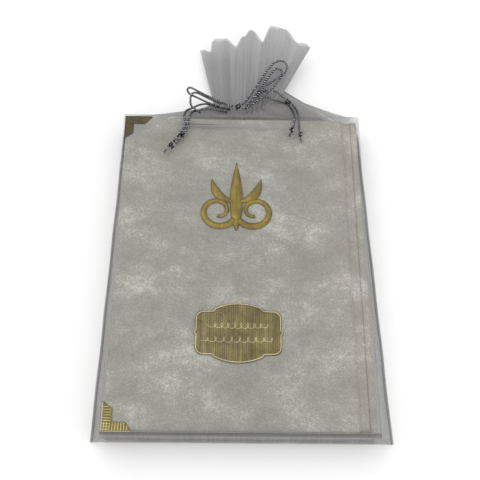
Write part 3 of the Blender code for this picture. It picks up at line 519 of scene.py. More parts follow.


# ---------------------------------------------------------------- cords
# The same routes as the imported cords. Most points are places picked on the photograph and put
# through the solved camera by a program; the rest were moved one by one.
CORD_RADIUS = 0.00056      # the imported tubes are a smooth 0.45 mm; the laid strands stand proud
CORD_PITCH = 0.0028
CORD_ROUTES = {
    "cord_left_loop": [
        (-0.0048, 0.0930, 0.0115), (-0.0083, 0.0940, 0.0116), (-0.0111, 0.0951, 0.0118),
        (-0.0155, 0.0974, 0.0121), (-0.0196, 0.0995, 0.0124), (-0.0236, 0.1016, 0.0128),
        (-0.0268, 0.1033, 0.0131), (-0.0284, 0.1039, 0.0124), (-0.0292, 0.1039, 0.0108),
        (-0.0287, 0.1033, 0.0091), (-0.0273, 0.1023, 0.0084), (-0.0243, 0.1007, 0.0085),
        (-0.0215, 0.0988, 0.0089), (-0.0180, 0.0966, 0.0093), (-0.0145, 0.0949, 0.0097),
        (-0.0110, 0.0936, 0.0100), (-0.0075, 0.0925, 0.0103), (-0.0048, 0.0920, 0.0105),
    ],
    "cord_left_hook": [
        (-0.0110, 0.0958, 0.0095), (-0.0143, 0.0974, 0.0096), (-0.0175, 0.0989, 0.0099),
        (-0.0207, 0.1004, 0.0104), (-0.0235, 0.1016, 0.0109), (-0.0258, 0.1019, 0.0108),
        (-0.0270, 0.1008, 0.0104), (-0.0274, 0.0985, 0.0100), (-0.0273, 0.0957, 0.0103),
        (-0.0267, 0.0928, 0.0113), (-0.0255, 0.0905, 0.0127), (-0.0236, 0.0886, 0.0134),
        (-0.0218, 0.0868, 0.0136),
    ],
    "cord_left_tail_a": [
        (-0.0067, 0.0921, 0.0093), (-0.0099, 0.0935, 0.0086), (-0.0131, 0.0946, 0.0082),
        (-0.0161, 0.0959, 0.0078), (-0.0190, 0.0969, 0.0076), (-0.0218, 0.0965, 0.0077),
        (-0.0244, 0.0948, 0.0083), (-0.0267, 0.0925, 0.0094), (-0.0286, 0.0903, 0.0111),
        (-0.0296, 0.0866, 0.0143), (-0.0299, 0.0826, 0.0169), (-0.0297, 0.0800, 0.0173),
        (-0.0292, 0.0782, 0.0171), (-0.0295, 0.0757, 0.0171), (-0.0303, 0.0730, 0.0171),
        (-0.0315, 0.0709, 0.0171), (-0.0328, 0.0691, 0.0171), (-0.0340, 0.0673, 0.0171),
        (-0.0347, 0.0659, 0.0171),
    ],
    "cord_left_tail_b": [
        (-0.0080, 0.0905, 0.0096), (-0.0113, 0.0919, 0.0090), (-0.0157, 0.0926, 0.0090),
        (-0.0200, 0.0919, 0.0094), (-0.0237, 0.0904, 0.0103), (-0.0257, 0.0875, 0.0134),
        (-0.0267, 0.0831, 0.0168), (-0.0275, 0.0799, 0.0173), (-0.0280, 0.0776, 0.0171),
        (-0.0283, 0.0749, 0.0171), (-0.0290, 0.0722, 0.0171), (-0.0302, 0.0699, 0.0171),
        (-0.0315, 0.0679, 0.0171), (-0.0327, 0.0661, 0.0171), (-0.0336, 0.0649, 0.0171),
    ],
    "cord_right_loop_outer": [
        (0.0004, 0.0936, 0.0119), (0.0032, 0.0975, 0.0120), (0.0057, 0.1017, 0.0122),
        (0.0085, 0.1062, 0.0126), (0.0108, 0.1104, 0.0132), (0.0133, 0.1141, 0.0146),
        (0.0164, 0.1175, 0.0162), (0.0203, 0.1195, 0.0169), (0.0236, 0.1189, 0.0159),
        (0.0243, 0.1156, 0.0148), (0.0220, 0.1115, 0.0139), (0.0191, 0.1069, 0.0142),
        (0.0163, 0.1028, 0.0144), (0.0132, 0.1000, 0.0136), (0.0096, 0.0967, 0.0126),
        (0.0058, 0.0939, 0.0119), (0.0028, 0.0923, 0.0113), (0.0004, 0.0918, 0.0108),
    ],
    "cord_right_loop_inner": [
        (0.0028, 0.0937, 0.0110), (0.0051, 0.0970, 0.0112), (0.0078, 0.1013, 0.0116),
        (0.0112, 0.1068, 0.0119), (0.0143, 0.1112, 0.0135), (0.0163, 0.1133, 0.0147),
        (0.0181, 0.1148, 0.0155), (0.0197, 0.1155, 0.0153), (0.0212, 0.1149, 0.0146),
        (0.0217, 0.1134, 0.0138), (0.0209, 0.1119, 0.0133), (0.0183, 0.1099, 0.0131),
        (0.0158, 0.1076, 0.0131), (0.0134, 0.1057, 0.0133), (0.0105, 0.1025, 0.0131),
        (0.0078, 0.0987, 0.0129), (0.0052, 0.0951, 0.0126),
    ],
    "cord_right_tail_a": [
        (0.0085, 0.1004, 0.0104), (0.0104, 0.1022, 0.0112), (0.0130, 0.1031, 0.0122),
        (0.0159, 0.1032, 0.0128), (0.0192, 0.1019, 0.0120), (0.0219, 0.1003, 0.0108),
        (0.0244, 0.0986, 0.0104), (0.0264, 0.0959, 0.0109), (0.0281, 0.0925, 0.0119),
        (0.0291, 0.0877, 0.0149), (0.0294, 0.0835, 0.0171), (0.0295, 0.0806, 0.0173),
        (0.0296, 0.0780, 0.0171), (0.0297, 0.0752, 0.0171), (0.0299, 0.0734, 0.0171),
    ],
    "cord_right_tail_b": [
        (0.0090, 0.0979, 0.0109), (0.0116, 0.0992, 0.0114), (0.0142, 0.0988, 0.0116),
        (0.0170, 0.0980, 0.0110), (0.0201, 0.0974, 0.0103), (0.0230, 0.0968, 0.0101),
        (0.0249, 0.0950, 0.0106), (0.0263, 0.0916, 0.0119), (0.0271, 0.0871, 0.0148),
        (0.0274, 0.0830, 0.0171), (0.0274, 0.0803, 0.0173), (0.0271, 0.0782, 0.0171),
        (0.0265, 0.0760, 0.0171),
    ],
}

FRAYED_TIPS = {
    "cord_left_frayed_tip": ((-0.0379, 0.0613, 0.0173), (-0.0396, 0.0592, 0.0171)),
    "cord_right_frayed_tip_a": ((0.0302, 0.0694, 0.0173), (0.0303, 0.0664, 0.0171)),
    "cord_right_frayed_tip_b": ((0.0251, 0.0722, 0.0173), (0.0243, 0.0700, 0.0171)),
}
# knot: turn about Z in degrees
KNOT_TURNS = {
    "cord_bow_knot": 0, "cord_left_tail_knot": 55, "cord_left_end_bead": 50,
    "cord_right_tail_knot": -50, "cord_right_end_knot_a": 0, "cord_right_end_knot_b": 20,
}
THREADS_OF_CORD = [0] * 7 + [1] * 2 + [0] * 7 + [1] * 2


def twisted_cord(name, path, radius):
    body = Bundle()
    body.tube(twisted_rings(path, radius, CORD_PITCH), 0, THREADS_OF_CORD)
    return body.make(name, [CORD_DARK, CORD_SILVER])


def knot_piece(node, turn):
    """A trefoil of the same cord drawn tight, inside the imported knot's box."""
    low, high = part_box(node)
    centre = (low + high) / 2
    half = (high - low) / 2
    cord = CORD_RADIUS * 0.82
    loop = []
    for step in range(30):
        t = 2 * pi * step / 30
        flat = Vector(((sin(t) + 2 * sin(2 * t)) / 3 * (half.x - cord),
                       (cos(t) - 2 * cos(2 * t)) / 3 * (half.y - cord), 0))
        flat.rotate(Matrix.Rotation(radians(turn), 3, "Z"))
        loop.append(centre + flat + Vector((0, 0, -sin(3 * t) * (half.z - cord))))
    return twisted_cord(node + "_tied", smooth_route(loop, 0.0003, closed=True), cord)


def frayed_piece(node, thin, frayed, seed):
    """Loose silver and black threads spreading from the end of a cord."""
    draw = random.Random(seed)
    start = Vector(thin)
    run = Vector(frayed) - start
    side = run.orthogonal().normalized()
    other = run.cross(side).normalized()
    body = Bundle()
    for index in range(16):
        angle = 2 * pi * index / 16 + draw.uniform(-0.3, 0.3)
        away = side * cos(angle) + other * sin(angle)
        spread = draw.uniform(0.0003, 0.0010)
        reach = draw.uniform(0.75, 1.05)
        path = [start + away * 0.00022, start + run * 0.4 * reach + away * spread * 0.45,
                start + run * reach + away * spread]
        rings = plain_rings(smooth_route(path, 0.0004), lambda t: 0.00011 - 0.00005 * t, 5)
        body.tube(rings, index % 3 == 0)
    return body.make(node + "_threads", [CORD_DARK, CORD_SILVER])


def make_cords():
    for node, turn in KNOT_TURNS.items():
        soft_part(knot_piece(node, turn), "metallic_cord", node)
    for seed, (node, (thin, frayed)) in enumerate(FRAYED_TIPS.items()):
        soft_part(frayed_piece(node, thin, frayed, seed), "metallic_cord", node)
    for name, route in CORD_ROUTES.items():
        path = smooth_route(route, 0.00025)
        cord = soft_part(twisted_cord(name + "_twisted", path, CORD_RADIUS), "metallic_cord", name)


make_cords()


# ---------------------------------------------------------------- pouch
PANEL_LOW, PANEL_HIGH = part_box("pouch_back_panel")
SEAM_LOW, SEAM_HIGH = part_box("pouch_side_seam_right")
TAIL_Y = PANEL_LOW.y + 0.0003
HEAD_Y = SEAM_HIGH.y
HALF_TAIL = {-1: -PANEL_LOW.x, 1: PANEL_HIGH.x}
HALF_HEAD = SEAM_LOW.x - 0.0003
EDGE_Z = 0.0010
TOP_Z = COVER_HIGH.z + 0.0014
COVER_HALF = -COVER_LOW.x
COVER_TAIL = COVER_LOW.y
# The cloth turning down over the cover's edges: (distance outside the edge, share of the height).
SIDE_FALL = ((-0.0015, 1.0), (0.0009, 0.985), (0.0013, 0.90), (0.0016, 0.55))
TAIL_FALL = ((-0.0010, 1.0), (0.0009, 0.985), (0.0011, 0.90), (0.0012, 0.50))
BODY_SHARE = 0.60           # of the rows: up to the book's head
NECK_SHARE = 0.74           # and to the neck
PLEATS = 15
BACK_Z = 0.0003             # the back layer, flat on the table
NECK_BACK_Z = 0.0030        # and in the neck

# Ruffled mouth: (u across, how far past the plain edge in metres). The values come from places
# on the photograph put through the solved camera by a program, then thinned and rounded.
MOUTH_EDGE = [(-1.00, -0.0020), (-0.86, -0.0060), (-0.74, 0.0000), (-0.56, -0.0030), (-0.38, -0.0100),
              (-0.20, -0.0035), (-0.07, 0.0015), (0.16, -0.0070), (0.28, 0.0030), (0.50, 0.0030),
              (0.80, -0.0025), (1.00, -0.0005)]
CREASES = (-1.0, -0.86, -0.375, -0.10, 0.165, 0.66, 1.0)    # where the frill's lobes fold
TUCK_Y = COVER_HIGH.y - 0.0054    # a tuck lies across the cover just short of its head
TUCK_LEAN = 0.010
TUCK_HEIGHT = 0.0008
CORD_SPAN = (0.064, 0.122)        # y range where cords lie on the cloth
CORD_CLEARANCE = 0.00018
FAN = 0.45                        # how far the frill's side edges lean outwards


def neck(u):
    return np.array([0.0043 + 0.0196 * u,
                     0.0908 + 0.0050 * u + 0.0147 * u * u,
                     0.0078 + 0.0012 * u - 0.0016 * u * u])


def mouth(u):
    return np.array([0.0070 + 0.0305 * u,
                     0.1405 - 0.0022 * u - 0.0062 * u * u,
                     0.0165 + 0.0040 * u - 0.0048 * u * u])


def fan_out(u):
    """The frill's way out from the neck."""
    return np.array([FAN * u, 1.0, 0.0])


def ease(share):
    share = min(1.0, max(0.0, share))
    return share * share * (3 - 2 * share)


def mouth_reach(u):
    places = [place for place, _ in MOUTH_EDGE]
    index = int(np.clip(np.searchsorted(places, u) - 1, 0, len(places) - 2))
    (start, first), (stop, second) = MOUTH_EDGE[index:index + 2]
    return first + (second - first) * ease((u - start) / (stop - start))


def back_level(u, share, frill):
    """Height of the plain back layer on the way to the neck, or from there to the mouth."""
    if frill:
        return NECK_BACK_Z + (mouth(u)[2] - 2 * NECK_BACK_Z) * share
    return BACK_Z + (NECK_BACK_Z - BACK_Z) * share


def sewn(z, u, level, reach):
    """Bring the front layer down to the back layer along the side seams, over a reach in u."""
    return level + 0.0002 + (z - level - 0.0002) * ease((1 - abs(u)) / reach) ** 0.5


def half_width(y, side):
    share = (y - TAIL_Y) / (HEAD_Y - TAIL_Y)
    return HALF_TAIL[side] + (HALF_HEAD - HALF_TAIL[side]) * share


def place_across(column, y):
    """x of a column from -1 to 1: finer where the cloth turns down over the cover's edges."""
    side = -1 if column < 0 else 1
    half = half_width(min(y, HEAD_Y), side)
    fold = COVER_HALF + SIDE_FALL[-1][0]
    return side * float(np.interp(abs(column), [0, 0.88, 0.95, 1.0], [0, COVER_HALF, fold, half]))


def place_along(t):
    """y of a row over the book: finer where the cloth turns down over the tail."""
    return float(np.interp(t, [0, 0.035, BODY_SHARE], [TAIL_Y, COVER_TAIL - 0.0007, HEAD_Y]))


def fall(outside, steps, seam):
    """Share of the height at a distance outside the cover's edge; it is 0 at the seam."""
    places, shares = zip(*steps, (seam, 0.0))
    return float(np.interp(outside, places, shares))


def drape(x, y):
    """Height share of the front panel over the book: 1 on the cover, 0 at the seams."""
    half = half_width(min(y, HEAD_Y), -1 if x < 0 else 1)
    return min(fall(abs(x) - COVER_HALF, SIDE_FALL, half - COVER_HALF),
               fall(COVER_TAIL - y, TAIL_FALL, COVER_TAIL - TAIL_Y))


def tuck(x, y):
    """Strength of the tuck at a place on the cover."""
    line = exp(-((y - TUCK_Y + TUCK_LEAN * x) / 0.0005) ** 2)
    return line * ease((x + 0.034) / 0.008) * ease((0.021 - x) / 0.008)


def head_edge_shade(x, y):
    """Painted shade along the head edge of the cover, mostly towards the spine, laid on as denser cloth.
    """
    line = exp(-((y - HEAD_Y - 0.0002) / 0.0006) ** 2)
    return line * ease((x + 0.020) / 0.014) * ease((0.0605 - x) / 0.006)


def wrinkles(x, y):
    """Slack of the sheer cloth over the cover: long soft waves and the tuck near the head."""
    slack = 0.00016 * sin(95 * x + 40 * y + 1.2) * sin(31 * y + 0.6)
    slack += 0.00010 * sin(210 * x - 60 * y)
    return slack + TUCK_HEIGHT * tuck(x, y)


def pleat(u, phase):
    """Uneven gathers across the neck."""
    return (sin(PLEATS * pi * u + phase + 1.6 * sin(2.1 * u + phase))
            * (0.7 + 0.3 * sin(5.3 * u + phase)))


def lobe(u):
    """Bulge of the frill's broad lobes, sharp where they fold against each other."""
    index = int(np.clip(np.searchsorted(CREASES, u) - 1, 0, len(CREASES) - 2))
    start, stop = CREASES[index], CREASES[index + 1]
    share = min(1.0, max(0.0, (u - start) / (stop - start)))
    lean = share ** (1.7 if index % 2 else 0.6)
    return (4 * lean * (1 - lean)) ** 0.6 * (0.25 + 1.5 * (stop - start))


def front_point(column, t):
    """A point of the front layer: column from seam to seam, t from the tail to the mouth."""
    y = place_along(t)
    x = place_across(column, y)
    if t <= BODY_SHARE:
        rise = drape(x, y)
        return np.array([x, y, EDGE_Z + (TOP_Z - EDGE_Z) * rise + wrinkles(x, y) * rise]), rise
    u = x / HALF_HEAD
    share = (t - BODY_SHARE) / (NECK_SHARE - BODY_SHARE)
    loose = ease(1.2 * share)
    rise = (1 - loose) * drape(x, HEAD_Y) + loose * ease((1 - abs(u)) / 0.12)
    start = np.array([x, HEAD_Y, EDGE_Z + (TOP_Z - EDGE_Z) * rise * 0.97])
    gather = neck(u * 0.98)
    gather[2] -= 0.0030 * (1 - rise)
    if t <= NECK_SHARE:
        point = start + (gather - start) * share
        point[2] = start[2] + (gather[2] - start[2]) * share ** 0.6
        point[2] += 0.0007 * ease(share) ** 2 * pleat(u, 0.7)
        level = back_level(u, share, False)
        point[2] += (sewn(point[2], u, level, 0.05 + 0.17 * share) - point[2]) * ease(10 * share)
        return point, rise
    share = (t - NECK_SHARE) / (1 - NECK_SHARE)
    point = gather + (mouth(u) - gather) * share + fan_out(u) * mouth_reach(u) * share ** 2
    point[2] += 0.0007 * (1 - share) ** 2 * pleat(u, 0.7) + 0.0034 * share ** 2 * (lobe(u) - 0.5)
    point[2] = sewn(point[2], u, back_level(u, share, True), 0.22 - 0.17 * share)
    return point, rise


def back_point(column, t):
    """The back layer: flat under the book, then up into the neck and frill."""
    y = place_along(t)
    x = place_across(column, y)
    if t <= BODY_SHARE:
        return np.array([x, y, BACK_Z]), 1.0
    u = x / HALF_HEAD
    start = np.array([x, HEAD_Y, BACK_Z])
    gather = neck(u * 0.98)
    gather[2] = NECK_BACK_Z
    if t <= NECK_SHARE:
        share = (t - BODY_SHARE) / (NECK_SHARE - BODY_SHARE)
        point = start + (gather - start) * share
        point[2] += 0.0004 * ease(share) * pleat(u, 2.1)
        return point, 1.0
    share = (t - NECK_SHARE) / (1 - NECK_SHARE)
    far = mouth(u) - np.array([0, 0, NECK_BACK_Z])
    reach = mouth_reach(0.99 * u) + 0.0022 - 0.0005 * sin(7.0 * u + 1.0)
    point = gather + (far - gather) * share + fan_out(u) * reach * share ** 2
    point[2] += 0.0004 * (1 - share) * pleat(u, 2.1) + 0.0020 * share ** 2 * (lobe(-u) - 0.5)
    return point, 1.0


def press_under_cords(points):
    """Push the front layer down where a cord lies on it, so that the strands stay on top."""
    strands = np.array([tuple(p) for route in CORD_ROUTES.values()
                        for p in smooth_route(route, 0.0006)])
    for index, point in enumerate(points):
        if not CORD_SPAN[0] <= point[1] <= CORD_SPAN[1]:
            continue
        gap = np.hypot(strands[:, 0] - point[0], strands[:, 1] - point[1])
        slope = np.clip((gap - CORD_RADIUS) / 0.0016, 0, 1) ** 2 * 0.0012
        ceiling = np.where(gap < 0.0020, strands[:, 2] - CORD_RADIUS - CORD_CLEARANCE + slope, 1.0)
        point[2] = min(point[2], ceiling.min())


def pouch_layer(name, surface, columns, rows, nodes, margin):
    """One cloth layer; margin is 1 where its folded parts look denser, its painted shade is laid on and
    cords press on it, else 0.
    """
    points = []
    gathered = []
    across = []
    along = []
    for row in range(rows):
        t = row / (rows - 1)
        for index in range(columns):
            column = index / (columns - 1) * 2 - 1
            point, rise = surface(column, t)
            points.append(point)
            shoulder = ease((t - BODY_SHARE) / 0.012)
            necked = ease((t - BODY_SHARE) / (NECK_SHARE - BODY_SHARE))
            # Denser cloth where it turns down at the sides and in the tuck; the band along the head edge
            # and the steep rise over the tail are painted shade, for the shade at the cover's head edge
            # and on the book's tail face.
            fold = (1 - rise) * 1.9 + 9.0 * tuck(*point[:2]) + 2.6 * head_edge_shade(*point[:2])
            fold += (0.6 + 4.0 * rise) * ease((TAIL_Y + 0.0012 - point[1]) / 0.0006)
            density_and_shade = 1.0 + margin * fold + 1.9 * shoulder + 1.0 * necked
            opened = ease((t - NECK_SHARE) / (1 - NECK_SHARE))
            gathered.append(1.25 - 0.20 * opened if t >= NECK_SHARE else density_and_shade)
            across.append(column)
            along.append(t)
    if margin:
        press_under_cords(points)
    layer = new_mesh(name, points, grid_faces(columns, rows), [ORGANZA, ORGANZA_FRILL])
    frill_row = int(NECK_SHARE * (rows - 1))
    layer.data.polygons.foreach_set(
        "material_index", [int(index // (columns - 1) >= frill_row)
                           for index in range(len(layer.data.polygons))])
    for key, values in (("gather", gathered), ("across", across), ("along", along)):
        store_values(layer, key, values)
    return soft_part(layer, "organza", *nodes)


STITCH_PITCH = 0.0024
STITCH_RADIUS = 0.00008


def stitched_seam(name, node, start, stop, width, turn_in=0.0):
    """Folded seam allowance with lock stitches along it; its last stretch turns in by turn_in."""
    foot, top = (corner.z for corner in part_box(node))
    start = Vector(start)
    stop = Vector(stop)
    along = (stop - start).normalized()
    up = Vector((0, 0, 1))
    across = along.cross(up).normalized()
    length = (stop - start).length
    half = across * width / 2
    low = up * (foot + 0.00008)
    high = up * (top - 0.00022)
    body = Bundle()
    steps = 60
    rings = []
    for step in range(steps + 1):
        share = step / steps
        middle = start.lerp(stop, share) + across * 0.0001 * sin(26 * share + 1.0)
        middle.x += turn_in * ease((share - 0.97) / 0.03)
        lift = up * 0.00004 * sin(41 * share)
        rings.append([middle - half + low, middle + low, middle + half + low,
                      middle + half + high - lift, middle + high + up * 0.00008,
                      middle - half + high + lift])
    body.tube(rings, 0)
    for index in range(int(0.97 * length / STITCH_PITCH)):
        at = start + along * STITCH_PITCH * (index + 0.2) + up * (top - 0.00012)
        path = [at, at + along * STITCH_PITCH * 0.35 + up * 0.00004, at + along * STITCH_PITCH * 0.7]
        body.tube(plain_rings(path, lambda t: STITCH_RADIUS, 6), 1)
    seam = body.make(name, [SEAM, ORGANZA_FRILL])
    for key in ("gather", "across", "along"):
        store_values(seam, key, [1.0] * len(seam.data.vertices))
    return soft_part(seam, "organza_seam", node)


def make_pouch():
    front = pouch_layer("pouch_front", front_point, 281, 241,
                        ("pouch_front_panel", "drawstring_channel_front", "pouch_frill_front"), 1.0)
    back = pouch_layer("pouch_back", back_point, 201, 161,
                       ("pouch_back_panel", "drawstring_channel_back", "pouch_frill_back"), 0.0)
    middle = 0.0009
    for side, word in ((-1, "left"), (1, "right")):
        stitched_seam(f"pouch_{word}_seam_stitched", f"pouch_side_seam_{word}",
                      (side * (HALF_TAIL[side] + middle), TAIL_Y, 0),
                      (side * (HALF_HEAD + middle / 2), HEAD_Y, 0), 0.0012, -side * 0.0008)
    tail_low, tail_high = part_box("pouch_tail_seam")
    tail_y = (tail_low.y + tail_high.y) / 2
    stitched_seam("pouch_tail_seam_stitched", "pouch_tail_seam",
                  (tail_low.x, tail_y, 0), (tail_high.x, tail_y, 0), 0.0019)


make_pouch()


# ---------------------------------------------------------------- book
def dress(names, mat):
    """Give CAD nodes that keep their shape a detailed material."""
    for name in names:
        data = NODES[name].data
        data.materials.clear()
        data.materials.append(mat)


def velvet_skin(name, node, low, high, body, corner, seed):
    """Padded velvet over a board: rounded edges and a slightly uneven, crushed surface."""
    draw = random.Random(seed)
    phases = [draw.uniform(0, 6.28) for _ in range(6)]
    shape = bmesh.new()
    bmesh.ops.create_cube(shape, size=1)
    for vertex in shape.verts:
        vertex.co = Vector((vertex.co[i] * (high[i] - low[i]) + (high[i] + low[i]) / 2
                            for i in range(3)))
    bmesh.ops.bevel(shape, geom=shape.edges[:], offset=corner, segments=4, profile=0.5,
                    affect="EDGES")
    for axis, count in ((0, 90), (1, 120)):
        for step in range(1, count):
            place = low[axis] + (high[axis] - low[axis]) * step / count
            normal = Vector((0, 0, 0))
            normal[axis] = 1
            point = Vector((0, 0, 0))
            point[axis] = place
            bmesh.ops.bisect_plane(shape, geom=shape.verts[:] + shape.edges[:] + shape.faces[:],
                                   dist=1e-7, plane_co=point, plane_no=normal)
    for vertex in shape.verts:
        x, y, _ = vertex.co
        crush = (sin(310 * x + 90 * y + phases[0]) * sin(260 * y - 70 * x + phases[1])
                 + 0.6 * sin(620 * x + 340 * y + phases[2])
                 * sin(540 * y - 400 * x + phases[3]))
        if abs(vertex.normal.z) > 0.9:
            vertex.co.z += copysign(0.00005, vertex.normal.z) * (crush - 1.2)
    mesh = bpy.data.meshes.new(name)
    shape.to_mesh(mesh)
    shape.free()
    piece = place_mesh(name, mesh, [VELVET])
    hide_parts(node)
    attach(piece, body)


GROOVE = 0.0050                # width between a board's velvet and the spine
GROOVE_DEPTH = 0.0016
CLOTH_THICKNESS = 0.0003


def joint_cloth(name, top, body, outward):
    """Velvet sinking into the groove between a board and the spine; it turns with its board."""
    first = SPINE_LOW.x - GROOVE - 0.0002
    last = SPINE_LOW.x - 0.00005
    columns = 17
    rows = 80
    points = []
    for side in (0, 1):
        for row in range(rows):
            y = COVER_LOW.y + 0.0006 + (COVER_HIGH.y - COVER_LOW.y - 0.0012) * row / (rows - 1)
            for column in range(columns):
                share = column / (columns - 1)
                depth = 0.0003 + GROOVE_DEPTH * ease(share / 0.34) + CLOTH_THICKNESS * side
                points.append((first + (last - first) * share, y, top - outward * depth))
    count = rows * columns
    faces = grid_faces(columns, rows)
    faces += [tuple(index + count for index in face[::-1]) for face in grid_faces(columns, rows)]
    rim = (list(range(columns)) + [row * columns + columns - 1 for row in range(1, rows)]
           + [(rows - 1) * columns + c for c in range(columns - 2, -1, -1)]
           + [row * columns for row in range(rows - 2, 0, -1)])
    for one, other in zip(rim, rim[1:] + rim[:1]):
        faces.append((other, one, one + count, other + count))
    piece = new_mesh(name, points, faces, [VELVET])
    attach(piece, body)


def make_velvet():
    board_end = SPINE_LOW.x - GROOVE
    velvet_skin("front_velvet", "front_cover_velvet", COVER_LOW,
                Vector((board_end, COVER_HIGH.y, COVER_HIGH.z)), "front_cover", 0.0007, 3)
    velvet_skin("back_velvet", "back_cover_velvet", BACK_LOW,
                Vector((board_end, BACK_HIGH.y, BACK_HIGH.z)), "book", 0.0007, 5)
    velvet_skin("spine_velvet_skin", "spine_velvet", SPINE_LOW, SPINE_HIGH, "book", 0.0009, 7)
    joint_cloth("front_joint_cloth", COVER_HIGH.z, "front_cover", 1)
    joint_cloth("back_joint_cloth", BACK_LOW.z, "book", -1)


ORNAMENT_SIZE = 0.040
ORNAMENT_FOOT = (-0.0025, 0.0152)


def stroke_relief(body, path, widths, low, height, steps):
    """A domed closed stroke with a ridge, following path(t) from the ornament's foot."""
    sides = 9
    rings = []
    for step in range(steps + 1):
        t = step / steps
        x, y = path(t)
        x += ORNAMENT_FOOT[0]
        y += ORNAMENT_FOOT[1]
        ahead = path(min(1.0, t + 0.01))
        behind = path(max(0.0, t - 0.01))
        dx, dy = ahead[0] - behind[0], ahead[1] - behind[1]
        length = hypot(dx, dy)
        half = widths(t) / 2
        ring = []
        for side in range(sides):
            s = side / (sides - 1) * 2 - 1
            rise = height * (0.35 + 0.65 * (1 - abs(s) ** 2.4)) * min(1.0, half / 0.0007)
            ring.append(Vector((x - dy / length * half * s, y + dx / length * half * s, low + rise)))
        ring.append(Vector((x - dy / length * half, y + dx / length * half, low)))
        ring.append(Vector((x + dy / length * half, y - dx / length * half, low)))
        rings.append(ring)
    body.tube(rings, 0)


def scroll(side):
    def path(t):
        turn = radians(-150 + 425 * t)
        radius = ORNAMENT_SIZE * (0.235 - 0.165 * t)
        return (side * (0.225 * ORNAMENT_SIZE + radius * cos(turn)),
                0.30 * ORNAMENT_SIZE + radius * sin(turn))
    return path


def side_leaf(side):
    def path(t):
        bend = sin(pi * t) * 0.055 * ORNAMENT_SIZE
        return (side * (ORNAMENT_SIZE * (0.03 + 0.28 * t) + bend),
                ORNAMENT_SIZE * (0.42 + 0.34 * t) - bend)
    return path


def centre_leaf(t):
    return 0.0, ORNAMENT_SIZE * (0.02 + 0.98 * t)


def make_ornament():
    """Generic leaf-and-scroll motif in raised gilt."""
    low = LEAF_LOW.z
    height = LEAF_HIGH.z - LEAF_LOW.z
    body = Bundle()
    stroke_relief(body, centre_leaf,
                  lambda t: 0.0004 + 0.0062 * sin(pi * t ** 0.8), low, height, 40)
    for side in (-1, 1):
        stroke_relief(body, scroll(side), lambda t: 0.0036 - 0.0019 * t, low, height, 60)
        stroke_relief(body, side_leaf(side),
                      lambda t: 0.0004 + 0.0042 * sin(pi * t), low, height, 26)
    piece = body.make("leaf_ornament", [GILT_DULL])
    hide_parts("ornament")
    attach(piece, "front_cover")


def arc(centre, radius, start, stop, steps):
    points = []
    for step in range(steps + 1):
        angle = radians(start + (stop - start) * step / steps)
        points.append((centre[0] + radius * cos(angle), centre[1] + radius * sin(angle)))
    return points


PLATE_CENTRE = (PLATE_LOW + PLATE_HIGH) / 2
PLATE_SHOULDER = 0.0107        # height of the plate's shoulders from its middle
PLATE_STEP = 0.0012            # rise from a shoulder to the end of the arch
PLATE_STEP_RUN = 0.0009
PLATE_SLOPE = 0.0002
PLATE_ARCH = 0.0112            # half width of the arched top and foot
PLATE_ROUND = 0.0032           # radius of the shoulders' corners
PLATE_POINT = 0.0012           # the point on each side: half height
PLATE_POINT_OUT = 0.0010       # and how far it stands out


def plate_arch(half_y, shrink, side):
    rise = half_y - PLATE_SHOULDER - PLATE_STEP
    radius = (PLATE_ARCH ** 2 + rise ** 2) / (2 * rise)
    end = 90 - degrees(asin((PLATE_ARCH - shrink) / (radius - shrink)))
    points = arc((0, half_y - radius), radius - shrink, 90, end, 14)
    return [(x, side * y) for x, y in points]


def cartouche(shrink):
    """The plate's outline, moved in by shrink."""
    half_x = (PLATE_HIGH.x - PLATE_LOW.x) / 2 - shrink
    half_y = (PLATE_HIGH.y - PLATE_LOW.y) / 2
    side_x = half_x - PLATE_POINT_OUT
    turn_x = side_x - PLATE_ROUND
    shoulder = PLATE_SHOULDER - shrink
    step = (PLATE_ARCH + PLATE_STEP_RUN - shrink, shoulder + PLATE_SLOPE)
    right = plate_arch(half_y, shrink, 1) + [step]
    right += arc((turn_x, shoulder - PLATE_ROUND), PLATE_ROUND, 90, 0, 8)
    right += [(side_x, PLATE_POINT), (half_x, 0.0), (side_x, -PLATE_POINT)]
    right += arc((turn_x, PLATE_ROUND - shoulder), PLATE_ROUND, 0, -90, 8)
    right += [(step[0], -step[1])] + plate_arch(half_y, shrink, -1)[::-1]
    left = [(-x, y) for x, y in right[-2:0:-1]]
    return [(x + PLATE_CENTRE.x, y + PLATE_CENTRE.y) for x, y in right + left]


def flourish(body, centre_y, width, phase, top):
    """An engraver's running scroll without letters: a wave whose loops rise and fall."""
    path = []
    loops = 9
    steps = loops * 14
    for step in range(steps + 1):
        t = step / steps
        turn = 2 * pi * loops * t + phase
        swell = 0.0014 * (0.55 + 0.45 * sin(pi * t))
        path.append(Vector((PLATE_CENTRE.x + width * (t - 0.5) - 0.0011 * sin(turn),
                            centre_y + swell * cos(turn), top)))
    body.tube(plain_rings(path, lambda t: 0.00016, 6), 0)


def make_plate():
    """Brushed plate with a raised rim, fine ribs and two lines of flourishes; the rim and flourishes are
    far brighter than the plate, painted highlight.
    """
    dress(["name_plate"], PLATE_GOLD)
    top = PLATE_HIGH.z
    rim = Bundle()
    outline = [Vector((x, y, top - 0.00002)) for x, y in cartouche(0.00045)]
    rim.tube(plain_rings(outline + outline[:2], lambda t: 0.00024, 8), 0)
    for offset, width, phase in ((0.0034, 0.0270, 0.4), (-0.0034, 0.0330, 2.0)):
        flourish(rim, PLATE_CENTRE.y + offset, width, phase, top - 0.00015)
    piece = rim.make("plate_rim_and_flourishes", [RIM_HIGHLIGHT_GOLD])
    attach(piece, "front_cover")


RIB_COUNT = 9
RIB_START = 0.0012             # from the corner's tip to its first rib
RIB_PITCH = 0.00125
RIB_LENGTH = 0.0042
RIB_INSET = 0.0003
RIB_RADIUS = 0.00022
CORNER_RIM_INSET = 0.00025
CORNER_RIM_RADIUS = 0.00026


def metal_strip(body, first, second, radius, sides, mat):
    route = smooth_route([first, (first + second) / 2, second], 0.0006)
    body.tube(plain_rings(route, lambda t: radius, sides), mat)


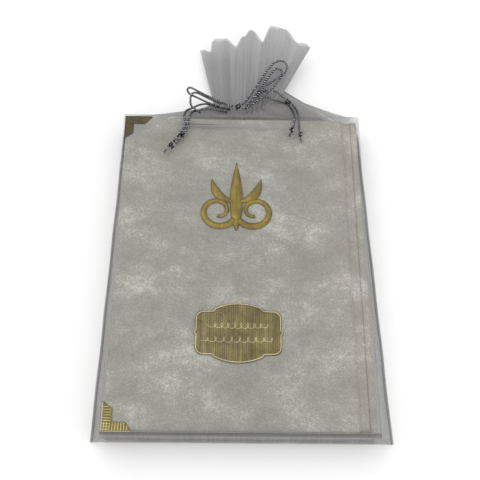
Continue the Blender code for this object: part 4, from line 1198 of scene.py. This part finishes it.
def corner_ribs(node, body_name, face_z, outward, end, mat):
    """Fine stamped ribs across both legs of a metal corner, and a rim along its outer edges; on the tail
    corners both are far brighter than the corner, painted highlight, and on the head corners they share
    its shaded gilt.
    """
    low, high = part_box(node)
    tip_y, far_y = (high.y, low.y) if end > 0 else (low.y, high.y)
    body = Bundle()
    z = face_z + outward * 0.00003
    for index in range(RIB_COUNT):
        run = RIB_START + RIB_PITCH * index
        depth = RIB_LENGTH - max(0.0, run - 0.0100) * 0.9
        for first, second in (((run, RIB_INSET), (run, depth)), ((RIB_INSET, run), (depth, run))):
            metal_strip(body, Vector((low.x + first[0], tip_y - end * first[1], z)),
                        Vector((low.x + second[0], tip_y - end * second[1], z)), RIB_RADIUS, 6, 0)
    edge_z = face_z + outward * 0.00002
    tip = Vector((low.x + CORNER_RIM_INSET, tip_y - end * CORNER_RIM_INSET, edge_z))
    for far in ((high.x - 0.0006, tip.y, edge_z), (tip.x, far_y + end * 0.0006, edge_z)):
        metal_strip(body, tip, Vector(far), CORNER_RIM_RADIUS, 8, 1)
    piece = body.make(node + "_ribs", [mat, mat] if end > 0 else [RIB_HIGHLIGHT_GOLD, RIM_HIGHLIGHT_GOLD])
    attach(piece, body_name)


def make_corners():
    for side, body, outward in (("front", "front_cover", 1), ("back", "book", -1)):
        for word, end in (("head", 1), ("tail", -1)):
            node = f"{side}_{word}_corner"
            # The head corners take the darker copy of the gilt: painted shade.
            mat = HEAD_CORNER_SHADE_GILT if end > 0 else GILT
            dress([node], mat)
            low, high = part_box(node)
            corner_ribs(node, body, high.z if outward > 0 else low.z, outward, end, mat)


def make_band(node):
    """Thread wound over a core: a row of small coils along the block's back."""
    low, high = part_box(node)
    centre = (low + high) / 2
    half = (high - low) / 2
    turns = 14
    steps = turns * 12
    path = []
    for step in range(steps + 1):
        t = step / steps
        angle = 2 * pi * turns * t
        path.append(Vector((centre.x + (half.x - 0.0002) * cos(angle),
                            centre.y + (half.y - 0.0002) * sin(angle),
                            low.z + 0.0002 + (high.z - low.z - 0.0004) * t)))
    body = Bundle()
    body.tube(plain_rings(path, lambda t: 0.0002, 6), 0)
    piece = body.make(node + "_thread", [BAND])
    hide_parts(node)
    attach(piece, "book")


def make_book():
    dress(["front_board", "back_board", "spine_board"], BOARD)
    dress(["front_pastedown", "back_pastedown", "front_flyleaf", "back_flyleaf"], ENDPAPER)
    dress([f"page_section_{index}" for index in range(1, 7)], PAGES)
    dress(["spine_lining"], MULL)
    make_velvet()
    make_ornament()
    make_plate()
    make_corners()
    make_band("head_band")
    make_band("tail_band")


make_book()
